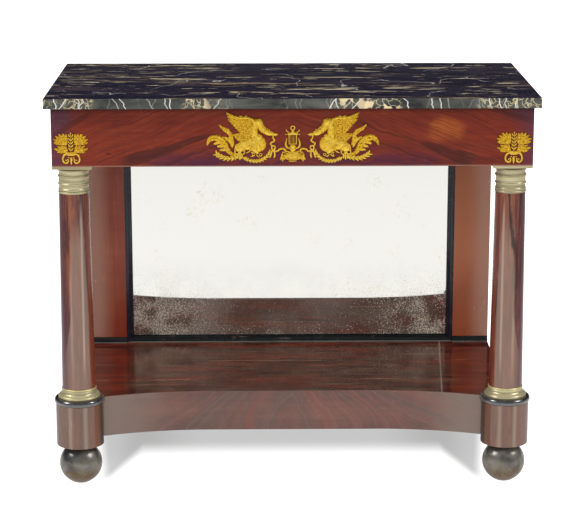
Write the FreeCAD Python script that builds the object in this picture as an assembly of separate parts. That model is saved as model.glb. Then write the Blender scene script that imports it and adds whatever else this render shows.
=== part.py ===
import FreeCAD, Part
import math
import os

# Pier table: a marble slab on a veneered frieze, carried in front by two turned columns that
# stand on plinths and ball feet, and at the back by two pilasters with a mirror between them.
# A low shelf with a curved apron ties the plinths to the back.
# Millimetres. Origin at the middle of the bounding box on the floor, front faces -Y, +Z up.

# ---------------------------------------------------------------- driving sizes
# slab
slab_width = 1120.0
slab_depth = 580.0
slab_thickness = 23.5
slab_arris = 1.2
slab_overhang_front = 16.0
slab_overhang_side = 15.0
slab_overhang_back = 8.0

# frieze, the box under the slab
frieze_height = 134.0
veneer_thickness = 2.0
front_rail_thickness = 22.0
side_rail_thickness = 20.0
back_rail_thickness = 20.0
rail_tenon_length = 12.0
rail_tenon_height = 90.0
rail_tenon_thickness = 12.0
brace_width = 60.0
brace_height = 22.0
brace_lap = 12.0
brace_spacing = 360.0
glue_block_leg = 25.0
glue_block_length = 55.0

# column, from the floor up
foot_diameter = 100.0
foot_flat_diameter = 19.0
foot_seat_height = 97.0
foot_tenon_diameter = 22.0
foot_tenon_length = 30.0
plinth_diameter = 110.6
plinth_height = 101.0
ring_diameter = 117.0
ring_height = 14.0
ring_bulge = 4.0
base_collar_height = 24.0
base_collar_diameter = 97.8
shaft_length = 464.0
shaft_bottom_diameter = 78.4
shaft_top_diameter = 69.8
shaft_foot_neck_diameter = 68.0
shaft_head_neck_diameter = 58.0
lower_tenon_diameter = 40.0
lower_tenon_length = 60.0
upper_tenon_diameter = 36.0
upper_tenon_length = 60.0
capital_height = 60.0
capital_lip = 0.8
abacus_side = 89.0
abacus_thickness = 6.5
column_block_side = 69.0
column_block_height = 100.0

# shelf between the plinths and the back
shelf_rise = 9.0
shelf_thickness = 18.0
apron_lift = 14.0
apron_core_thickness = 22.0
apron_behind_axis = 48.5
apron_end_behind_axis = 4.5
apron_straight_half = 200.0
apron_tenon_thickness = 10.0
apron_tenon_height = 56.0
apron_tenon_depth = 14.0
shelf_side_thickness = 20.0
shelf_block_length = 82.0
shelf_block_width = 70.0
foot_block_side = 82.0

# back: pilasters, stiles, mirror and its mouldings
back_inset = 34.5
pilaster_width = 91.0
pilaster_thickness = 18.0
pilaster_top_gap = 20.0
stile_width = 79.0
stile_thickness = 20.0
stile_tenon_height = 40.0
stile_tenon_width = 40.0
stile_tenon_thickness = 8.0
mirror_thickness = 4.0
mirror_margin = 3.0
backboard_thickness = 8.0
moulding_width = 17.3
moulding_depth = 12.0
moulding_edge = 4.0
foot_moulding_height = 15.0
foot_moulding_depth = 5.0
head_rail_height = 40.0

# gilt mounts on the frieze
gilt_base = 1.6
gilt_relief = 3.2
gilt_high = 4.2
pin_diameter = 2.0
pin_length = 10.0

# screws
screw_diameter = 4.5
screw_head_diameter = 9.0
screw_length = 30.0
board_screw_length = 17.0
screw_inset = 45.0
plinth_screw_inset = 14.0

# clearances: round fits and pieces dropped in loosely
round_fit = 0.3
screw_fit = 0.15
drop_in = 0.5

# ---------------------------------------------------------------- places that follow
half_frieze = slab_width / 2 - slab_overhang_side
y_front = -slab_depth / 2 + slab_overhang_front
y_back = slab_depth / 2 - slab_overhang_back
y_veneer_back = y_front + veneer_thickness
y_front_rail_back = y_veneer_back + front_rail_thickness
y_back_rail = y_back - back_rail_thickness

column_x = half_frieze - abacus_side / 2
column_y = y_front + abacus_side / 2

z_plinth = foot_seat_height
z_ring = z_plinth + plinth_height
z_collar = z_ring + ring_height
z_shaft = z_collar + base_collar_height
z_capital = z_shaft + shaft_length
z_abacus = z_capital + capital_height
z_frieze = z_abacus + abacus_thickness
z_slab = z_frieze + frieze_height
z_top = z_slab + slab_thickness

z_shelf = z_ring + shelf_rise
z_board = z_shelf - shelf_thickness
z_apron = z_plinth + apron_lift
y_apron = column_y + apron_behind_axis
back_half = half_frieze - back_inset
stile_inner = back_half - stile_width
pilaster_inner = back_half - pilaster_width
y_stile = y_back - stile_thickness
y_pilaster = y_stile - pilaster_thickness
y_mirror = y_stile - mirror_thickness
z_head = z_frieze

pieces = {}
SIDES = (("left", -1), ("right", 1))


# ---------------------------------------------------------------- shape helpers
def point(x, y, z):
    return FreeCAD.Vector(x, y, z)


def block(x0, x1, y0, y1, z0, z1):
    low = point(min(x0, x1), min(y0, y1), z0)
    return Part.makeBox(abs(x1 - x0), abs(y1 - y0), z1 - z0, low)


def rod(radius, x, y, z0, z1):
    return Part.makeCylinder(radius, z1 - z0, point(x, y, z0))


def mirrored(shape):
    return shape.mirror(point(0, 0, 0), point(1, 0, 0))


def on_side(shape, side):
    return shape if side > 0 else mirrored(shape)


def group(solids):
    return Part.makeCompound(solids)


def prism(wire, z0, z1):
    face = Part.Face(wire)
    face.translate(point(0, 0, z0))
    return face.extrude(point(0, 0, z1 - z0))


def turned(profile, bore_radius, x, y, z):
    """A turning about a vertical axis. The profile runs upwards as (radius, height, bulge):
    a bulge swells the stretch that ends there into an arc, outwards if positive."""
    edges = []
    first = point(bore_radius, 0, profile[0][1])
    last = first
    for radius, height, bulge in profile:
        here = point(radius, 0, height)
        if (here - last).Length > 1e-6:
            if bulge:
                middle = (last + here) * 0.5
                along = here - last
                outward = point(along.z, 0, -along.x)
                outward.normalize()
                edges.append(Part.Arc(last, middle + outward * bulge, here).toShape())
            else:
                edges.append(Part.makeLine(last, here))
        last = here
    top = point(bore_radius, 0, last.z)
    edges.append(Part.makeLine(last, top))
    if bore_radius > 0 or abs(top.z - first.z) > 1e-6:
        edges.append(Part.makeLine(top, first))
    solid = Part.Face(Part.Wire(edges)).revolve(point(0, 0, 0), point(0, 0, 1), 360)
    solid.translate(point(x, y, z))
    return solid


def screw(x, y, z, direction, length):
    """A countersunk wood screw whose head is flush at the given point, and the hole for it."""
    head_height = (screw_head_diameter - screw_diameter) / 2
    solids = []
    for spare in (0.0, screw_fit):
        radius = screw_diameter / 2 + spare
        head = screw_head_diameter / 2 + spare
        place = point(x, y, z)
        cone = Part.makeCone(head, radius, head_height, place, direction)
        shank = Part.makeCylinder(radius, length + spare, place, direction)
        solids.append(cone.fuse(shank).removeSplitter())
    return solids


def fix(names, screws, node):
    """Put screws in as one node, and drill the named pieces for them."""
    pieces[node] = group([body for body, hole in screws])
    for name in names:
        for body, hole in screws:
            if pieces[name].BoundBox.intersect(hole.BoundBox):
                pieces[name] = pieces[name].cut(hole)


# ---------------------------------------------------------------- marble slab
slab = block(-slab_width / 2, slab_width / 2, -slab_depth / 2, slab_depth / 2, z_slab, z_top)
pieces["marble_slab"] = slab.makeFillet(slab_arris, slab.Edges)

# ---------------------------------------------------------------- frieze box
rail_inner = half_frieze - side_rail_thickness


def tongued_rail(y, thickness):
    """A rail between the side rails, with a tenon at each end."""
    rail = block(-rail_inner, rail_inner, y, y + thickness, z_frieze, z_slab)
    reach = rail_inner + rail_tenon_length
    y0 = y + (thickness - rail_tenon_thickness) / 2
    z0 = z_frieze + (frieze_height - rail_tenon_height) / 2
    return rail.fuse(block(-reach, reach, y0, y0 + rail_tenon_thickness, z0, z0 + rail_tenon_height))


front_rail = tongued_rail(y_veneer_back, front_rail_thickness)
back_rail = tongued_rail(y_back_rail, back_rail_thickness)

# Two braces lie across the frame under the slab, let into both rails.
brace_x = brace_spacing / 2
braces = []
for x in (-brace_x, brace_x):
    y0 = y_front_rail_back - brace_lap
    y1 = y_back_rail + brace_lap
    braces.append(block(x - brace_width / 2, x + brace_width / 2, y0, y1, z_slab - brace_height, z_slab))
for brace in braces:
    front_rail = front_rail.cut(brace)
    back_rail = back_rail.cut(brace)
pieces["frieze_braces"] = group(braces)

side_rail = block(rail_inner, half_frieze, y_veneer_back, y_back, z_frieze, z_slab)
side_rail = side_rail.cut(front_rail).cut(back_rail)
for name, side in SIDES:
    pieces["frieze_side_" + name] = on_side(side_rail, side)
pieces["frieze_veneer"] = block(-half_frieze, half_frieze, y_front, y_veneer_back, z_frieze, z_slab)


def glue_block(x, y, z, away):
    """A triangular block centred on x, with one face on the plane y and one under the plane z."""
    leg = glue_block_leg
    profile = [point(x, y, z), point(x, y + away * leg, z), point(x, y, z - leg), point(x, y, z)]
    wedge = Part.Face(Part.makePolygon(profile)).extrude(point(glue_block_length, 0, 0))
    wedge.translate(point(-glue_block_length / 2, 0, 0))
    return wedge


# A glue block stiffens the corner under each brace, behind the front rail.
pieces["frieze_glue_blocks"] = group([glue_block(x, y_front_rail_back, z_slab - brace_height, 1)
                                      for x in (-brace_x, brace_x)])

# A block in each front corner of the frieze takes the column's upper tenon.
x_column_block = rail_inner - column_block_side
column_block = block(x_column_block, rail_inner, y_front_rail_back, y_front_rail_back + column_block_side,
                     z_frieze, z_frieze + column_block_height)

# ---------------------------------------------------------------- columns
upper_bore = rod(upper_tenon_diameter / 2 + round_fit, column_x, column_y,
                 z_abacus, z_frieze + upper_tenon_length + drop_in)
column_block = column_block.cut(upper_bore)
front_rail = front_rail.cut(upper_bore).cut(mirrored(upper_bore))
half_abacus = abacus_side / 2
abacus = block(column_x - half_abacus, column_x + half_abacus,
               column_y - half_abacus, column_y + half_abacus, z_abacus, z_frieze).cut(upper_bore)

shaft_top = shaft_top_diameter / 2
shaft_bottom = shaft_bottom_diameter / 2
head_neck = shaft_head_neck_diameter / 2
foot_neck = shaft_foot_neck_diameter / 2
upper_tenon = upper_tenon_diameter / 2
lower_tenon = lower_tenon_diameter / 2
shaft = turned([(lower_tenon, z_collar - lower_tenon_length, 0),
                (lower_tenon, z_collar, 0),
                (foot_neck, z_collar, 0),
                (foot_neck, z_shaft, 0),
                (shaft_bottom, z_shaft, 0),
                (shaft_top, z_capital, 0),
                (head_neck, z_capital, 0),
                (head_neck, z_abacus, 0),
                (upper_tenon, z_abacus, 0),
                (upper_tenon, z_frieze + upper_tenon_length, 0)], 0, column_x, column_y, 0)

# Capital: a spun brass sleeve of beads and fillets round the shaft's upper neck. Its profile is
# drawn 57 units high, and stretches with the capital.
cap = shaft_top + capital_lip
up = capital_height / 57.0
capital = turned([(cap - 0.8, 0, 0), (cap - 0.8, 4.5 * up, 1.3), (cap - 1.6, 4.5 * up, 0),
                  (cap - 1.6, 6.0 * up, 0), (cap - 1.2, 6.0 * up, 0), (cap - 1.2, 10.5 * up, 1.2),
                  (cap - 1.8, 11.5 * up, 0), (cap - 1.8, 18.0 * up, 0), (cap - 0.8, 18.5 * up, 0),
                  (cap - 0.8, 22.5 * up, 1.2), (cap - 1.6, 23.5 * up, 0), (cap - 1.4, 35.0 * up, 0),
                  (cap - 0.4, 35.5 * up, 0), (cap - 0.4, 39.5 * up, 1.2), (cap - 1.8, 40.5 * up, 0),
                  (cap - 0.6, 49.0 * up, -0.8), (cap, 50.0 * up, 0), (cap, 53.0 * up, 0.8),
                  (cap - 3.6, 54.0 * up, 0), (cap - 3.6, 57.0 * up, 0)],
                 head_neck + round_fit, column_x, column_y, z_capital)

# Base collar: a spun brass sleeve that flares down to the black ring, drawn 24 units high.
flare = base_collar_diameter / 2
top_ring = shaft_bottom + 0.4
up = base_collar_height / 24.0
base_collar = turned([(flare - 1.4, 0, 0), (flare - 1.4, 6.5 * up, 1.4), (flare - 3.4, 7.5 * up, 0),
                      (flare - 3.6, 9.0 * up, 0), (top_ring + 0.6, 18.0 * up, -1.6),
                      (top_ring, 19.0 * up, 0), (top_ring, 24.0 * up, 1.3)],
                     foot_neck + round_fit, column_x, column_y, z_collar)

ring_waist = ring_diameter / 2 - ring_bulge
ring = turned([(ring_waist, 0, 0), (ring_waist, ring_height, ring_bulge)],
              lower_tenon + round_fit, column_x, column_y, z_ring)

plinth_radius = plinth_diameter / 2
lower_bore = rod(lower_tenon + round_fit, column_x, column_y,
                 z_collar - lower_tenon_length - drop_in, z_ring)
foot_bore_depth = foot_tenon_length + drop_in
foot_bore = rod(foot_tenon_diameter / 2 + round_fit, column_x, column_y,
                z_plinth, z_plinth + foot_bore_depth)
plinth = rod(plinth_radius, column_x, column_y, z_plinth, z_ring).cut(lower_bore).cut(foot_bore)


def ball_foot(x, y):
    """A turned ball with a small flat worn under it, a flat seat on top and a tenon."""
    radius = foot_diameter / 2
    flat = foot_flat_diameter / 2
    centre = math.sqrt(radius ** 2 - flat ** 2)
    ball = Part.makeSphere(radius, point(x, y, centre))
    ball = ball.common(block(x - radius, x + radius, y - radius, y + radius, 0, foot_seat_height))
    tenon = rod(foot_tenon_diameter / 2, x, y, foot_diameter / 2, foot_seat_height + foot_tenon_length)
    return ball.fuse(tenon)


# ---------------------------------------------------------------- shelf frame
apron_sweep = apron_behind_axis - apron_end_behind_axis
apron_run = column_x - plinth_radius - apron_straight_half
apron_radius = (apron_run ** 2 + apron_sweep ** 2) / (2 * apron_sweep)


def apron_y(x, offset):
    """How far back the apron's face lies at x, or the face that is offset behind it."""
    run = max(abs(x) - apron_straight_half, 0)
    return y_apron - apron_radius + math.sqrt((apron_radius + offset) ** 2 - run ** 2)


def apron_line(offset, half):
    """The apron's plan line at an offset: straight in the middle, with an arc to each end."""
    turn = apron_straight_half
    bend = (turn + half) / 2
    y_mid = apron_y(0, offset)
    ends = [point(s * half, apron_y(half, offset), 0) for s in (-1, 1)]
    mids = [point(s * bend, apron_y(bend, offset), 0) for s in (-1, 1)]
    flat = [point(s * turn, y_mid, 0) for s in (-1, 1)]
    left = Part.Arc(ends[0], mids[0], flat[0]).toShape()
    right = Part.Arc(flat[1], mids[1], ends[1]).toShape()
    return [left, Part.makeLine(flat[0], flat[1]), right], ends


def apron_strip(offset, thickness, z0, z1):
    front, front_ends = apron_line(offset, column_x)
    rear, rear_ends = apron_line(offset + thickness, column_x)
    sides = [Part.makeLine(a, b) for a, b in zip(front_ends, rear_ends)]
    return prism(Part.Wire(Part.__sortEdges__(front + rear + sides)), z0, z1)


def around_columns(shape):
    """Hollow a shelf piece round the plinths and the black rings that stand in it."""
    plinth_room = rod(plinth_radius + round_fit, column_x, column_y, z_plinth, z_ring)
    ring_room = rod(ring_diameter / 2 + round_fit, column_x, column_y, z_ring - round_fit, z_collar)
    for room in (plinth_room, ring_room):
        shape = shape.cut(room).cut(mirrored(room))
    return shape


pieces["apron_veneer"] = around_columns(apron_strip(0, veneer_thickness, z_apron, z_shelf))
apron_core = around_columns(apron_strip(veneer_thickness, apron_core_thickness, z_apron, z_board))

# Board: its front edge follows the back of the apron's veneer, its back edge meets the stiles.
front, ends = apron_line(veneer_thickness, back_half)
corners = [ends[1], point(back_half, y_stile, 0), point(-back_half, y_stile, 0), ends[0]]
outline = front + [Part.makeLine(a, b) for a, b in zip(corners, corners[1:])]
pieces["shelf_board"] = around_columns(prism(Part.Wire(Part.__sortEdges__(outline)), z_board, z_shelf))

# Tenons tie the apron and the side rails to the plinths.
z_tenon = z_apron + (z_board - z_apron - apron_tenon_height) / 2
y_tie = apron_y(column_x - plinth_radius, veneer_thickness + apron_core_thickness / 2)
tie_start = column_x - plinth_radius - apron_tenon_depth
tie_end = column_x - plinth_radius + apron_tenon_depth
apron_tie = block(tie_start, tie_end,
                  y_tie - apron_tenon_thickness / 2, y_tie + apron_tenon_thickness / 2,
                  z_tenon, z_tenon + apron_tenon_height)
apron_core = apron_core.fuse(apron_tie).fuse(mirrored(apron_tie))

side_x = back_half - shelf_side_thickness
side_run = (side_x + back_half) / 2
plinth_back = column_y + math.sqrt(plinth_radius ** 2 - (side_run - column_x) ** 2)
side_tie = block(side_run - apron_tenon_thickness / 2, side_run + apron_tenon_thickness / 2,
                 plinth_back - apron_tenon_depth, plinth_back + apron_tenon_depth,
                 z_tenon, z_tenon + apron_tenon_height)
shelf_side = block(side_x, back_half, column_y, y_stile, z_apron, z_board)
shelf_side = around_columns(shelf_side).fuse(side_tie)
plinth = plinth.cut(apron_tie).cut(side_tie)

# A block behind each plinth, hollowed to it, is screwed to it from inside.
core_back = veneer_thickness + apron_core_thickness
y_block_back = column_y + plinth_radius + shelf_block_width
shelf_block = block(side_x - shelf_block_length, side_x, column_y, y_block_back, z_apron, z_board)
hollow, hollow_ends = apron_line(core_back + round_fit, back_half)
far = y_apron - apron_radius
corners = [hollow_ends[1], point(back_half, far, 0), point(-back_half, far, 0), hollow_ends[0]]
outline = hollow + [Part.makeLine(a, b) for a, b in zip(corners, corners[1:])]
apron_room = prism(Part.Wire(Part.__sortEdges__(outline)), z_apron - 1, z_board + 1)
shelf_block = around_columns(shelf_block).cut(apron_room)

# Rear: a foot block in each corner takes the rear ball foot.
foot_x = side_x - foot_block_side / 2
foot_y = y_stile - foot_block_side / 2
rear_bore = rod(foot_tenon_diameter / 2 + round_fit, foot_x, foot_y, z_plinth, z_plinth + foot_bore_depth)
foot_block = block(foot_x - foot_block_side / 2, side_x, foot_y - foot_block_side / 2, y_stile,
                   z_plinth, z_board).cut(rear_bore)

shelf_back = block(-stile_inner, stile_inner, y_stile, y_back, z_apron, z_shelf)

# Glue blocks under the board, in the straight stretch of the apron and along the back.
y_core_back = y_apron + core_back
wedges = []
for x in (-apron_straight_half * 0.75, 0, apron_straight_half * 0.75):
    wedges.append(glue_block(x, y_core_back, z_board, 1))
    wedges.append(glue_block(x, y_stile, z_board, -1))
pieces["shelf_glue_blocks"] = group(wedges)

# ---------------------------------------------------------------- back frame
stile = block(stile_inner, back_half, y_stile, y_back, z_apron, z_frieze)
stile_mid = (stile_inner + back_half) / 2
y_tongue = y_stile + (stile_thickness - stile_tenon_thickness) / 2
tongue = block(stile_mid - stile_tenon_width / 2, stile_mid + stile_tenon_width / 2,
               y_tongue, y_tongue + stile_tenon_thickness, z_frieze, z_frieze + stile_tenon_height)
stile = stile.fuse(tongue)
back_rail = back_rail.cut(tongue).cut(mirrored(tongue))
z_pilaster_top = z_slab - pilaster_top_gap
pilaster = block(pilaster_inner, back_half, y_pilaster, y_stile, z_shelf, z_pilaster_top)
pieces["mirror_head_rail"] = block(-pilaster_inner, pilaster_inner, y_pilaster, y_stile,
                                   z_head, z_head + head_rail_height)

pieces["mirror_plate"] = block(-pilaster_inner + mirror_margin, pilaster_inner - mirror_margin,
                               y_mirror, y_stile, z_shelf + mirror_margin, z_head - mirror_margin)
pieces["mirror_backboard"] = block(-stile_inner, stile_inner, y_stile, y_stile + backboard_thickness,
                                   z_shelf, z_head)


# Ebonised mouldings frame the glass: a flat outer edge, then a slope down to the mirror.
def moulding(length, wide, deep, edge):
    """A moulding along +X with its flat back at y=0 and its outer edge at z=0, facing -Y."""
    nose = wide * 0.3
    lip = edge * 0.5
    profile = [point(0, 0, 0), point(0, -deep, 0), point(0, -deep, nose)]
    slope = Part.Arc(profile[-1], point(0, -deep * 0.72, wide * 0.62), point(0, -lip, wide - lip))
    edges = [Part.makeLine(profile[0], profile[1]), Part.makeLine(profile[1], profile[2]), slope.toShape(),
             Part.makeLine(point(0, -lip, wide - lip), point(0, -lip, wide)),
             Part.makeLine(point(0, -lip, wide), point(0, 0, wide)),
             Part.makeLine(point(0, 0, wide), profile[0])]
    return Part.Face(Part.Wire(edges)).extrude(point(length, 0, 0))


def mitred(shape, corners):
    """The part of a moulding that lies between the mitres drawn by the corners (x, z)."""
    y0 = y_mirror - 2 * moulding_depth
    outline = Part.makePolygon([point(x, y0, z) for x, z in corners + corners[:1]])
    return shape.common(Part.Face(outline).extrude(point(0, 4 * moulding_depth, 0)))


glass_height = z_head - z_shelf
glass_middle = z_shelf + glass_height / 2
outer = pilaster_inner
inner = pilaster_inner - 2 * moulding_width
rise = z_shelf + 2 * moulding_width
fall = z_head - 2 * moulding_width
level = moulding(2 * outer, moulding_width, moulding_depth, moulding_edge)
level.translate(point(-outer, y_mirror, z_shelf))
level = mitred(level, [(-outer, z_shelf), (outer, z_shelf), (inner, rise), (-inner, rise)])
upright = moulding(glass_height, moulding_width, moulding_depth, moulding_edge)
upright.rotate(point(0, 0, 0), point(0, 1, 0), -90)
upright.translate(point(outer, y_mirror, z_shelf))
upright = mitred(upright, [(outer, z_shelf), (outer, z_head), (inner, fall), (inner, rise)])
pieces["mirror_moulding_bottom"] = level
pieces["mirror_moulding_top"] = level.mirror(point(0, 0, glass_middle), point(0, 0, 1))
for name, side in SIDES:
    pieces["mirror_moulding_" + name] = on_side(upright, side)
    foot = moulding(pilaster_width, foot_moulding_height, foot_moulding_depth, foot_moulding_depth * 0.4)
    foot.translate(point(pilaster_inner, y_pilaster, z_shelf))
    pieces["pilaster_foot_moulding_" + name] = on_side(foot, side)

# ---------------------------------------------------------------- keep the pairs
for name, side in SIDES:
    pieces["column_block_" + name] = on_side(column_block, side)
    pieces["abacus_" + name] = on_side(abacus, side)
    pieces["capital_" + name] = on_side(capital, side)
    pieces["column_shaft_" + name] = on_side(shaft, side)
    pieces["base_collar_" + name] = on_side(base_collar, side)
    pieces["black_ring_" + name] = on_side(ring, side)
    pieces["plinth_" + name] = on_side(plinth, side)
    pieces["front_foot_" + name] = ball_foot(side * column_x, column_y)
    pieces["rear_foot_" + name] = ball_foot(side * foot_x, foot_y)
    pieces["rear_foot_block_" + name] = on_side(foot_block, side)
    pieces["shelf_side_" + name] = on_side(shelf_side, side)
    pieces["shelf_block_" + name] = on_side(shelf_block, side)
    pieces["rear_stile_" + name] = on_side(stile, side)
    pieces["pilaster_" + name] = on_side(pilaster, side)
pieces["apron_core"] = apron_core
pieces["shelf_back_rail"] = shelf_back
pieces["frieze_front_rail"] = front_rail
pieces["frieze_back_rail"] = back_rail


# ---------------------------------------------------------------- gilt mounts
# Cast and chased brass reliefs pinned flat to the veneer. Their outlines are drawn as
# (across, up) from the middle of the table's frieze and from the frieze's lower edge.
def relief(wire, height):
    plate = Part.Face(wire).extrude(point(0, -height, 0))
    plate.translate(point(0, y_front, z_frieze))
    return plate


def leaf(points, height):
    """A cut leaf or feathered shape with crisp tips."""
    return relief(Part.makePolygon([point(u, 0, v) for u, v in points + points[:1]]), height)


def pad(points, height):
    """A rounded shape, its outline a closed curve through the points."""
    curve = Part.BSplineCurve()
    curve.interpolate([point(u, 0, v) for u, v in points], PeriodicFlag=True)
    return relief(Part.Wire(curve.toShape()), height)


def band(points, width, height):
    """A strap that follows a curve, tapered a little to its end."""
    curve = Part.BSplineCurve()
    curve.interpolate([point(u, 0, v) for u, v in points])
    start, end = curve.FirstParameter, curve.LastParameter
    steps = 6 * (len(points) - 1)
    left, right = [], []
    for step in range(steps + 1):
        t = start + (end - start) * step / steps
        along = curve.tangent(t)[0]
        across = point(-along.z, 0, along.x) * (width / 2 * (1 - 0.35 * step / steps))
        left.append(curve.value(t) + across)
        right.append(curve.value(t) - across)
    return relief(Part.makePolygon(left + right[::-1] + left[:1]), height)


def disc(u, v, radius, height):
    return Part.makeCylinder(radius, height, point(u, y_front, z_frieze + v), point(0, -1, 0))


def joined(solids):
    whole = solids[0]
    for solid in solids[1:]:
        whole = whole.fuse(solid)
    return whole.removeSplitter()


def swan_mount():
    """Left of the lyre: a swan with raised wing on a rosette, with leaves behind it, a garland
    below and a ribbon from its beak."""
    wing = leaf([(-150, 122), (-141, 117), (-125, 111), (-96, 111), (-88, 103), (-87, 84),
                 (-104, 68), (-120, 76), (-131, 86), (-139, 94), (-145, 104), (-149, 113)], gilt_relief)
    lower_wing = leaf([(-136, 73), (-118, 80), (-95, 80), (-92, 62), (-112, 56), (-126, 63)], gilt_relief)
    body = pad([(-90, 82), (-70, 76), (-61, 58), (-66, 42), (-78, 31), (-92, 40),
                (-112, 43), (-131, 52), (-112, 64)], gilt_high)
    neck = band([(-84, 66), (-83, 88), (-79, 104), (-71, 102), (-68, 90), (-58, 79)], 12.0, gilt_relief)
    head = pad([(-64, 83), (-56, 84), (-46, 78), (-46, 71), (-58, 69), (-66, 74)], gilt_high)
    beak = leaf([(-46, 77), (-34, 73), (-35, 70), (-47, 70)], gilt_relief)
    upright_leaf = leaf([(-166, 94), (-157, 89), (-143, 82), (-134, 67), (-131, 45), (-137, 43),
                         (-141, 64), (-152, 76), (-162, 84)], gilt_base)
    inner_leaf = leaf([(-158, 69), (-149, 63), (-144, 67), (-139, 52), (-136, 42), (-143, 44)], gilt_base)
    curling_leaf = leaf([(-194, 49), (-190, 58), (-176, 68), (-158, 64), (-147, 53), (-136, 36),
                         (-122, 31), (-124, 26), (-142, 29), (-156, 36), (-168, 44), (-164, 48),
                         (-176, 54), (-184, 54)], gilt_relief)
    low_leaf = leaf([(-175, 33), (-165, 30), (-152, 27), (-134, 24), (-120, 26), (-121, 21),
                     (-136, 18), (-156, 16), (-170, 20)], gilt_base)
    rosette = pad([(-132, 35), (-121, 50), (-107, 35), (-113, 24), (-121, 19), (-127, 25)], gilt_high)
    foot = leaf([(-124, 24), (-113, 24), (-112, 14), (-124, 14)], gilt_base)
    garland = band([(-108, 22), (-84, 12), (-66, 19), (-51, 33)], 7.0, gilt_base)
    claw = band([(-88, 36), (-86, 28), (-72, 26), (-66, 20)], 5.0, gilt_base)
    ribbon = band([(-44, 71), (-40, 61), (-50, 53), (-43, 44), (-46, 36), (-50, 30)], 3.6, gilt_base)
    knot = disc(-43.5, 42.5, 6.0, gilt_base)
    tails = leaf([(-50, 36), (-39, 36), (-40, 20), (-44, 30), (-52, 20)], gilt_base)
    return joined([body, wing, lower_wing, neck, head, beak, rosette, upright_leaf, inner_leaf,
                   curling_leaf, low_leaf, foot, garland, claw, ribbon, knot, tails])


def lyre_mount():
    """A lyre on a footed bowl, with a scroll each side that takes the end of the ribbon."""
    half = []
    half.append(band([(9, 41), (15, 49), (14, 60), (9.5, 66), (9, 76)], 4.6, gilt_relief))
    half.append(band([(5, 77), (12, 76), (18.5, 74)], 2.6, gilt_base))
    half.append(band([(11, 76), (17, 83)], 2.4, gilt_base))
    half.append(band([(35.5, 34), (28, 39), (20, 41), (17, 35), (21, 30)], 4.4, gilt_base))
    half.append(leaf([(19, 30), (24, 28), (28, 13), (22, 12), (19, 20)], gilt_base))
    other = [solid.mirror(point(0, 0, 0), point(1, 0, 0)) for solid in half]
    finial = disc(0, 87.5, 5.6, gilt_relief)
    yoke = pad([(0, 84), (6, 78), (9, 72), (0, 71), (-9, 72), (-6, 78)], gilt_relief)
    strings = [leaf([(u - 0.8, 72), (u + 0.8, 72), (u + 0.8, 50), (u - 0.8, 50)], gilt_base)
               for u in (-4.5, 0, 4.5)]
    bridge = leaf([(-10, 53), (10, 53), (10, 49), (-10, 49)], gilt_base)
    stem = leaf([(-10, 43), (10, 43), (7, 36), (12, 31), (-12, 31), (-7, 36)], gilt_relief)
    bowl = pad([(-21, 31), (-10, 33), (0, 33), (10, 33), (21, 31), (19, 22), (10, 14), (0, 12),
                (-10, 14), (-19, 22)], gilt_high)
    return joined([bowl, stem, bridge, yoke, finial] + strings + half + other)


def corner_mount():
    """An ear of wheat between two pairs of fans, over a pair of scrolls and a drop."""
    half = []
    half.append(leaf([(9, 74), (14, 76), (22, 74), (28, 76), (33, 71), (38, 67), (36, 56), (28, 50),
                      (20, 56), (12, 59)], gilt_relief))
    half.append(leaf([(12, 58), (28, 53), (37, 45), (37, 38), (28, 36), (20, 31), (9, 34),
                      (9, 49)], gilt_base))
    half.append(band([(9, 33), (17, 28), (18.5, 18), (11.5, 11), (7.5, 15), (10, 20)], 4.0, gilt_relief))
    for row in range(5):
        v = 40 + row * 7.5
        half.append(leaf([(0, v), (4.6, v + 4.5), (4.2, v + 9.5), (0, v + 6)], gilt_relief))
    other = [solid.mirror(point(0, 0, 0), point(1, 0, 0)) for solid in half]
    stalk = leaf([(-1.6, 30), (-1.6, 80), (1.6, 80), (1.6, 30)], gilt_base)
    heart = pad([(-13, 34), (0, 38), (13, 34), (8, 25), (0, 22), (-8, 25)], gilt_high)
    drop = pad([(0, 24), (4.2, 16), (2.6, 9), (0, 6), (-2.6, 9), (-4.2, 16)], gilt_relief)
    return joined([heart, stalk, drop] + half + other)


left_swan = swan_mount()
pieces["swan_mount_left"] = left_swan
pieces["swan_mount_right"] = mirrored(left_swan)
pieces["lyre_mount"] = lyre_mount()
ear = corner_mount()
for name, side in SIDES:
    placed = ear.copy()
    placed.translate(point(side * column_x, 0, 0))
    pieces["corner_mount_" + name] = placed

# Two pins hold each mount to the frieze.
pin_places = [(0, 22), (0, 80)]
for side in (-1, 1):
    pin_places += [(side * 80, 50), (side * 120, 35)]
    pin_places += [(side * column_x, 30), (side * column_x, 60)]
pins = []
for u, v in pin_places:
    place = point(u, y_front, z_frieze + v)
    pins.append(Part.makeCylinder(pin_diameter / 2, pin_length, place, point(0, 1, 0)))
    hole = Part.makeCylinder(pin_diameter / 2 + screw_fit, pin_length + screw_fit, place, point(0, 1, 0))
    for name in ("frieze_veneer", "frieze_front_rail"):
        pieces[name] = pieces[name].cut(hole)
pieces["mount_pins"] = group(pins)

# ---------------------------------------------------------------- screws
screws = []
for side in (-1, 1):
    x_edge = side * (stile_inner + pilaster_inner) / 2
    for step in range(4):
        z = z_shelf + screw_inset + (glass_height - 2 * screw_inset) * step / 3
        screws.append(screw(x_edge, y_stile + backboard_thickness, z, point(0, -1, 0),
                            board_screw_length))
fix(["mirror_backboard", "pilaster_left", "pilaster_right"], screws, "backboard_screws")

screws = []
for side in (-1, 1):
    for z in (z_frieze + frieze_height / 2, z_pilaster_top - screw_inset / 2):
        x = side * (pilaster_inner + pilaster_width * 0.75)
        screws.append(screw(x, y_pilaster, z, point(0, 1, 0), screw_length))
fix(["pilaster_left", "pilaster_right", "frieze_back_rail"], screws, "pilaster_screws")

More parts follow.
